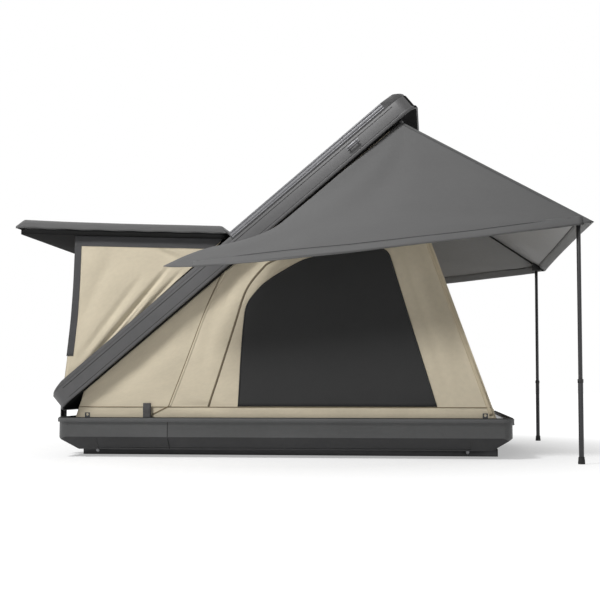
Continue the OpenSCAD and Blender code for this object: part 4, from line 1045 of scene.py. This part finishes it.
HEM_LIFT, STITCH_LIFT = 0.002, 0.0012
HEMS = [  # name, start and end on the sheet, height above the hem, width
    ("wing_hem_near", 0.06, 0.985, 0.024, HEM_WIDE),
    ("wing_hem_far", 2.015, 2.94, 0.024, HEM_WIDE),
    ("wing_stitch_near", 0.08, 0.97, 0.050, 0.0032),
    ("wing_stitch_far", 2.03, 2.92, 0.050, 0.0032),
    ("front_hem", 1.01, 1.99, 0.026, 0.048),
    ("front_hem_inside", 1.02, 1.98, 0.028, 0.05),
    ("front_stitch_inside", 1.03, 1.97, 0.056, 0.006),
    ("wing_hem_inside_near", 0.06, 0.98, 0.026, HEM_WIDE),
    ("wing_hem_inside_far", 2.02, 2.94, 0.026, HEM_WIDE),
    ("wing_stitch_inside_far", 2.03, 2.97, 0.052, 0.006),
]
awning_trims = []
for name, start, end, above, width in HEMS:
    under = "inside" in name
    # Hems on the inner face take a lighter grey: a painted highlight.
    lift, finish = HEM_LIFT, INNER_HEM_PAINTED_LIGHT if under else AWNING_HEM
    if "stitch" in name:
        lift, finish = STITCH_LIFT, DARK_CLOTH
    awning_trims.append(awning_tape(name, row(start, end, above), width, lift, finish, under))
RIDGE_LOOK = (0.014, 0.004, RIDGE_TAPE, True, 0.006)
for side, a in zip(SIDES, (1.0, 2.0)):
    line = [(a, t) for t in steps(80, 0.01, 0.98)]
    awning_trims.append(awning_tape(f"ridge_tape_inside_{side}", line, *RIDGE_LOOK))
for piece in (awning, *awning_trims):
    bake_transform(piece)
print("awning tapes", len(awning_trims))

# %% [markdown]
# ## Hatch cover
# The hatch is a stiff panel with a padded fabric skin pulled over it and hemmed under the edge. The
# skin could be inflated by a solver; here it is a crowned cushion: it starts as a grid, its middle
# is lifted, and its border is turned down over the panel's edge.

# %% Hatch cover
HATCH_AXIS, HATCH_TILT = Vector((-0.249047, 0, 1.02795)), math.radians(-2)
HATCH_LONG, HATCH_GAP, HATCH_WIDE = 1.0, 0.010, 1.344
PANEL_TOP, SKIRT, COVER_EDGE, COVER_THICK, COVER_LEAST = 0.0153, 0.0034, 0.031, 0.0025, 0.003
RIM, FREE_END_RISE, HINGE_END_FALL = 0.028, 0.035, 0.02
CROWN, COVER_RIPPLE, RIM_WAVE = 0.008, (0.2, 0.002, 21.0), 0.0012
END_LIFT, END_REACH = 0.012, 0.012


on_hatch = tilted(HATCH_AXIS, HATCH_TILT)


def hatch_skin(s, t):
    """s runs along the hatch from its free end, t across it; the rim turns down."""
    fold_s, fold_t = clamp((s - RIM) / (1 - 2 * RIM)), clamp((t - RIM) / (1 - 2 * RIM))
    over = max(RIM - s, s - 1 + RIM, RIM - t, t - 1 + RIM, 0) / RIM
    turned = min(over, 1)
    long, wide = HATCH_LONG + 2 * SKIRT * (1 if over > 0 else 0.6), HATCH_WIDE + 2 * SKIRT
    x = -HATCH_GAP - HATCH_LONG / 2 + (fold_s - 0.5) * long
    y = (fold_t - 0.5) * wide
    edge_tall = COVER_EDGE * min(1, fold_s / FREE_END_RISE) * min(1, (1 - fold_s) / HINGE_END_FALL)
    crown = COVER_LEAST + edge_tall + CROWN * hump(fold_s, fold_t) ** 0.35
    crown += ripple(x, y, *COVER_RIPPLE) * hump(fold_s, fold_t) ** 0.3
    drop = (COVER_LEAST + edge_tall) * turned + RIM_WAVE * math.sin(40 * x + 3 * y) * turned
    if s > 1 - RIM:
        drop *= 0.3
    lift = END_LIFT * (1 - fold_s) ** 3.5 * (1 - 0.5 * turned)
    return on_hatch((x - END_REACH * (1 - fold_s) ** 6, y, PANEL_TOP + crown - drop + lift))


hatch_cover = cloth(
    "hatch_cover_skin", 110, 130, hatch_skin, (1.06, 1.4), AWNING, "awning_cloth", COVER_THICK
)
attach(hatch_cover, "hatch")
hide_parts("hatch_cover")
print("hatch cover", len(hatch_cover.data.polygons), "faces")

# %% [markdown]
# ## Mattress and lid liner
# Inside lie a foam mattress and a padded liner under the lid's upper half. A cushion is a closed
# form with a crown, so both start as a cube that is cut into a fine grid and pushed out, with sewn
# lines pulled in.

# %% Pads
PAD_CORNER, PAD_CUTS, PAD_TAPER = 0.1, 28, 0.006
GROOVE_FROM, GROOVE_WIDE, GROOVE_DEPTH = 0.93, 0.07, 0.35


def pad(name, low, high, crown, channels, finish, turn=None):
    """A crowned cushion between two corners, with sewn channels across it."""
    low, high = Vector(low), Vector(high)
    middle, half = (low + high) / 2, (high - low) / 2
    bm = bmesh.new()
    uv = bm.loops.layers.uv.new("UVMap")
    bmesh.ops.create_cube(bm, size=2)
    bmesh.ops.subdivide_edges(bm, edges=bm.edges, cuts=PAD_CUTS, use_grid_fill=True)
    for v in bm.verts:
        x, y, z = v.co
        edge = (max(1 - x**8, 0) * max(1 - y**8, 0)) ** 0.25
        line = (math.cos(math.pi * channels * x) - GROOVE_FROM) / GROOVE_WIDE
        groove = max(line, 0) * GROOVE_DEPTH
        side = 1 - PAD_TAPER * abs(z)
        flat = [half.x * x * side, half.y * y * side]
        past = [max(abs(flat[k]) - half[k] + PAD_CORNER, 0) for k in (0, 1)]
        if min(past) > 0 and math.hypot(*past) > PAD_CORNER:
            pull = 1 - PAD_CORNER / math.hypot(*past)
            flat = [flat[k] - math.copysign(past[k] * pull, flat[k]) for k in (0, 1)]
        tall = half.z * z * (1 - crown + crown * edge * (1 - groove))
        v.co = (middle.x + flat[0], middle.y + flat[1], middle.z + tall)
    for face in bm.faces:
        for loop in face.loops:
            loop[uv].uv = (loop.vert.co.x, loop.vert.co.y)
    if turn:
        for v in bm.verts:
            v.co = turn(v.co)
    return make(name, bm, finish, "foam")


MATTRESS_BOX = (-0.945, -0.60, 0.054), (0.945, 0.60, 0.114)
LINER_BOX = (1.165, -0.674, -0.0139), (2.205, 0.674, -0.0042)
mattress = pad("mattress_pad", *MATTRESS_BOX, 0.3, 6, QUILT)
# The liner's near-black finish is painted shade.
liner = pad("lid_liner_pad", *LINER_BOX, 0.5, 5, PAINTED_SHADE_LINER, on_lid)
for piece, body, node in ((mattress, "base", "mattress"), (liner, "lid", "lid_liner")):
    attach(piece, body)
    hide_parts(node)
print("pads", mattress.name, liner.name)

# %% [markdown]
# ## Webbing tabs
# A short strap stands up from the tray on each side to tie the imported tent. It could be a box; flat
# webbing is a thin strip with a slight bow, so it is made as a tape.

# %% Webbing tabs
TAB_X, TAB_Y, TAB_FOOT, TAB_TALL, TAB_BOW = -0.631, -0.652, 0.1726, 0.080, 0.001
TAB_LOOK = (STRAP_WIDE, 0.0008, WEBBING, "webbing", 0.0025)

tab_line = [
    Vector((TAB_X, TAB_Y - TAB_BOW * math.sin(6 * k / 12), TAB_FOOT + TAB_TALL * k / 24))
    for k in range(25)
]
strap_pieces = []
for side in SIDES:
    tab = side_tape(side, f"strap_tab_{side}", tab_line, *TAB_LOOK)
    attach(tab, "base")
    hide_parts("strap_tabs")
    strap_pieces.append(tab)
print("webbing tabs", len(strap_pieces))

# %% [markdown]
# ## How the cloth packs away
# When the lid comes down the walls fold flat on the bed, and when the hatch comes down its small
# room folds flat on the lid. A solver could fold them; here each of these pieces only gets its
# thickness made a part of its mesh, and a mesh of its own.


# %% Packing
def settle(piece):
    """Makes the thickness a part of the mesh."""
    graph = bpy.context.evaluated_depsgraph_get()
    mesh = bpy.data.meshes.new_from_object(piece.evaluated_get(graph), depsgraph=graph)
    piece.modifiers.clear()
    piece.data = mesh


wall_pieces = (*side_walls, *wall_trims, *window_pieces, front, *front_trims, *strap_pieces)
for piece in (*wall_pieces, *popup_pieces):
    settle(piece)
for piece in wall_pieces:
    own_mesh(piece)
for piece in popup_pieces:
    tuple(on_lid((0.2, 0, 0.0203)))
    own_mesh(piece)
print("pieces that fold", len(wall_pieces) + len(popup_pieces))

for side, flap, binding in (("near", *window_pieces[:2]), ("far", *window_pieces[2:])):
    wall = f"side_wall_{side}_canvas"
sheets = [*side_walls, front, *window_pieces[::2], *popup_pieces[:6:3], rear, awning]
print("sheets", len(sheets))
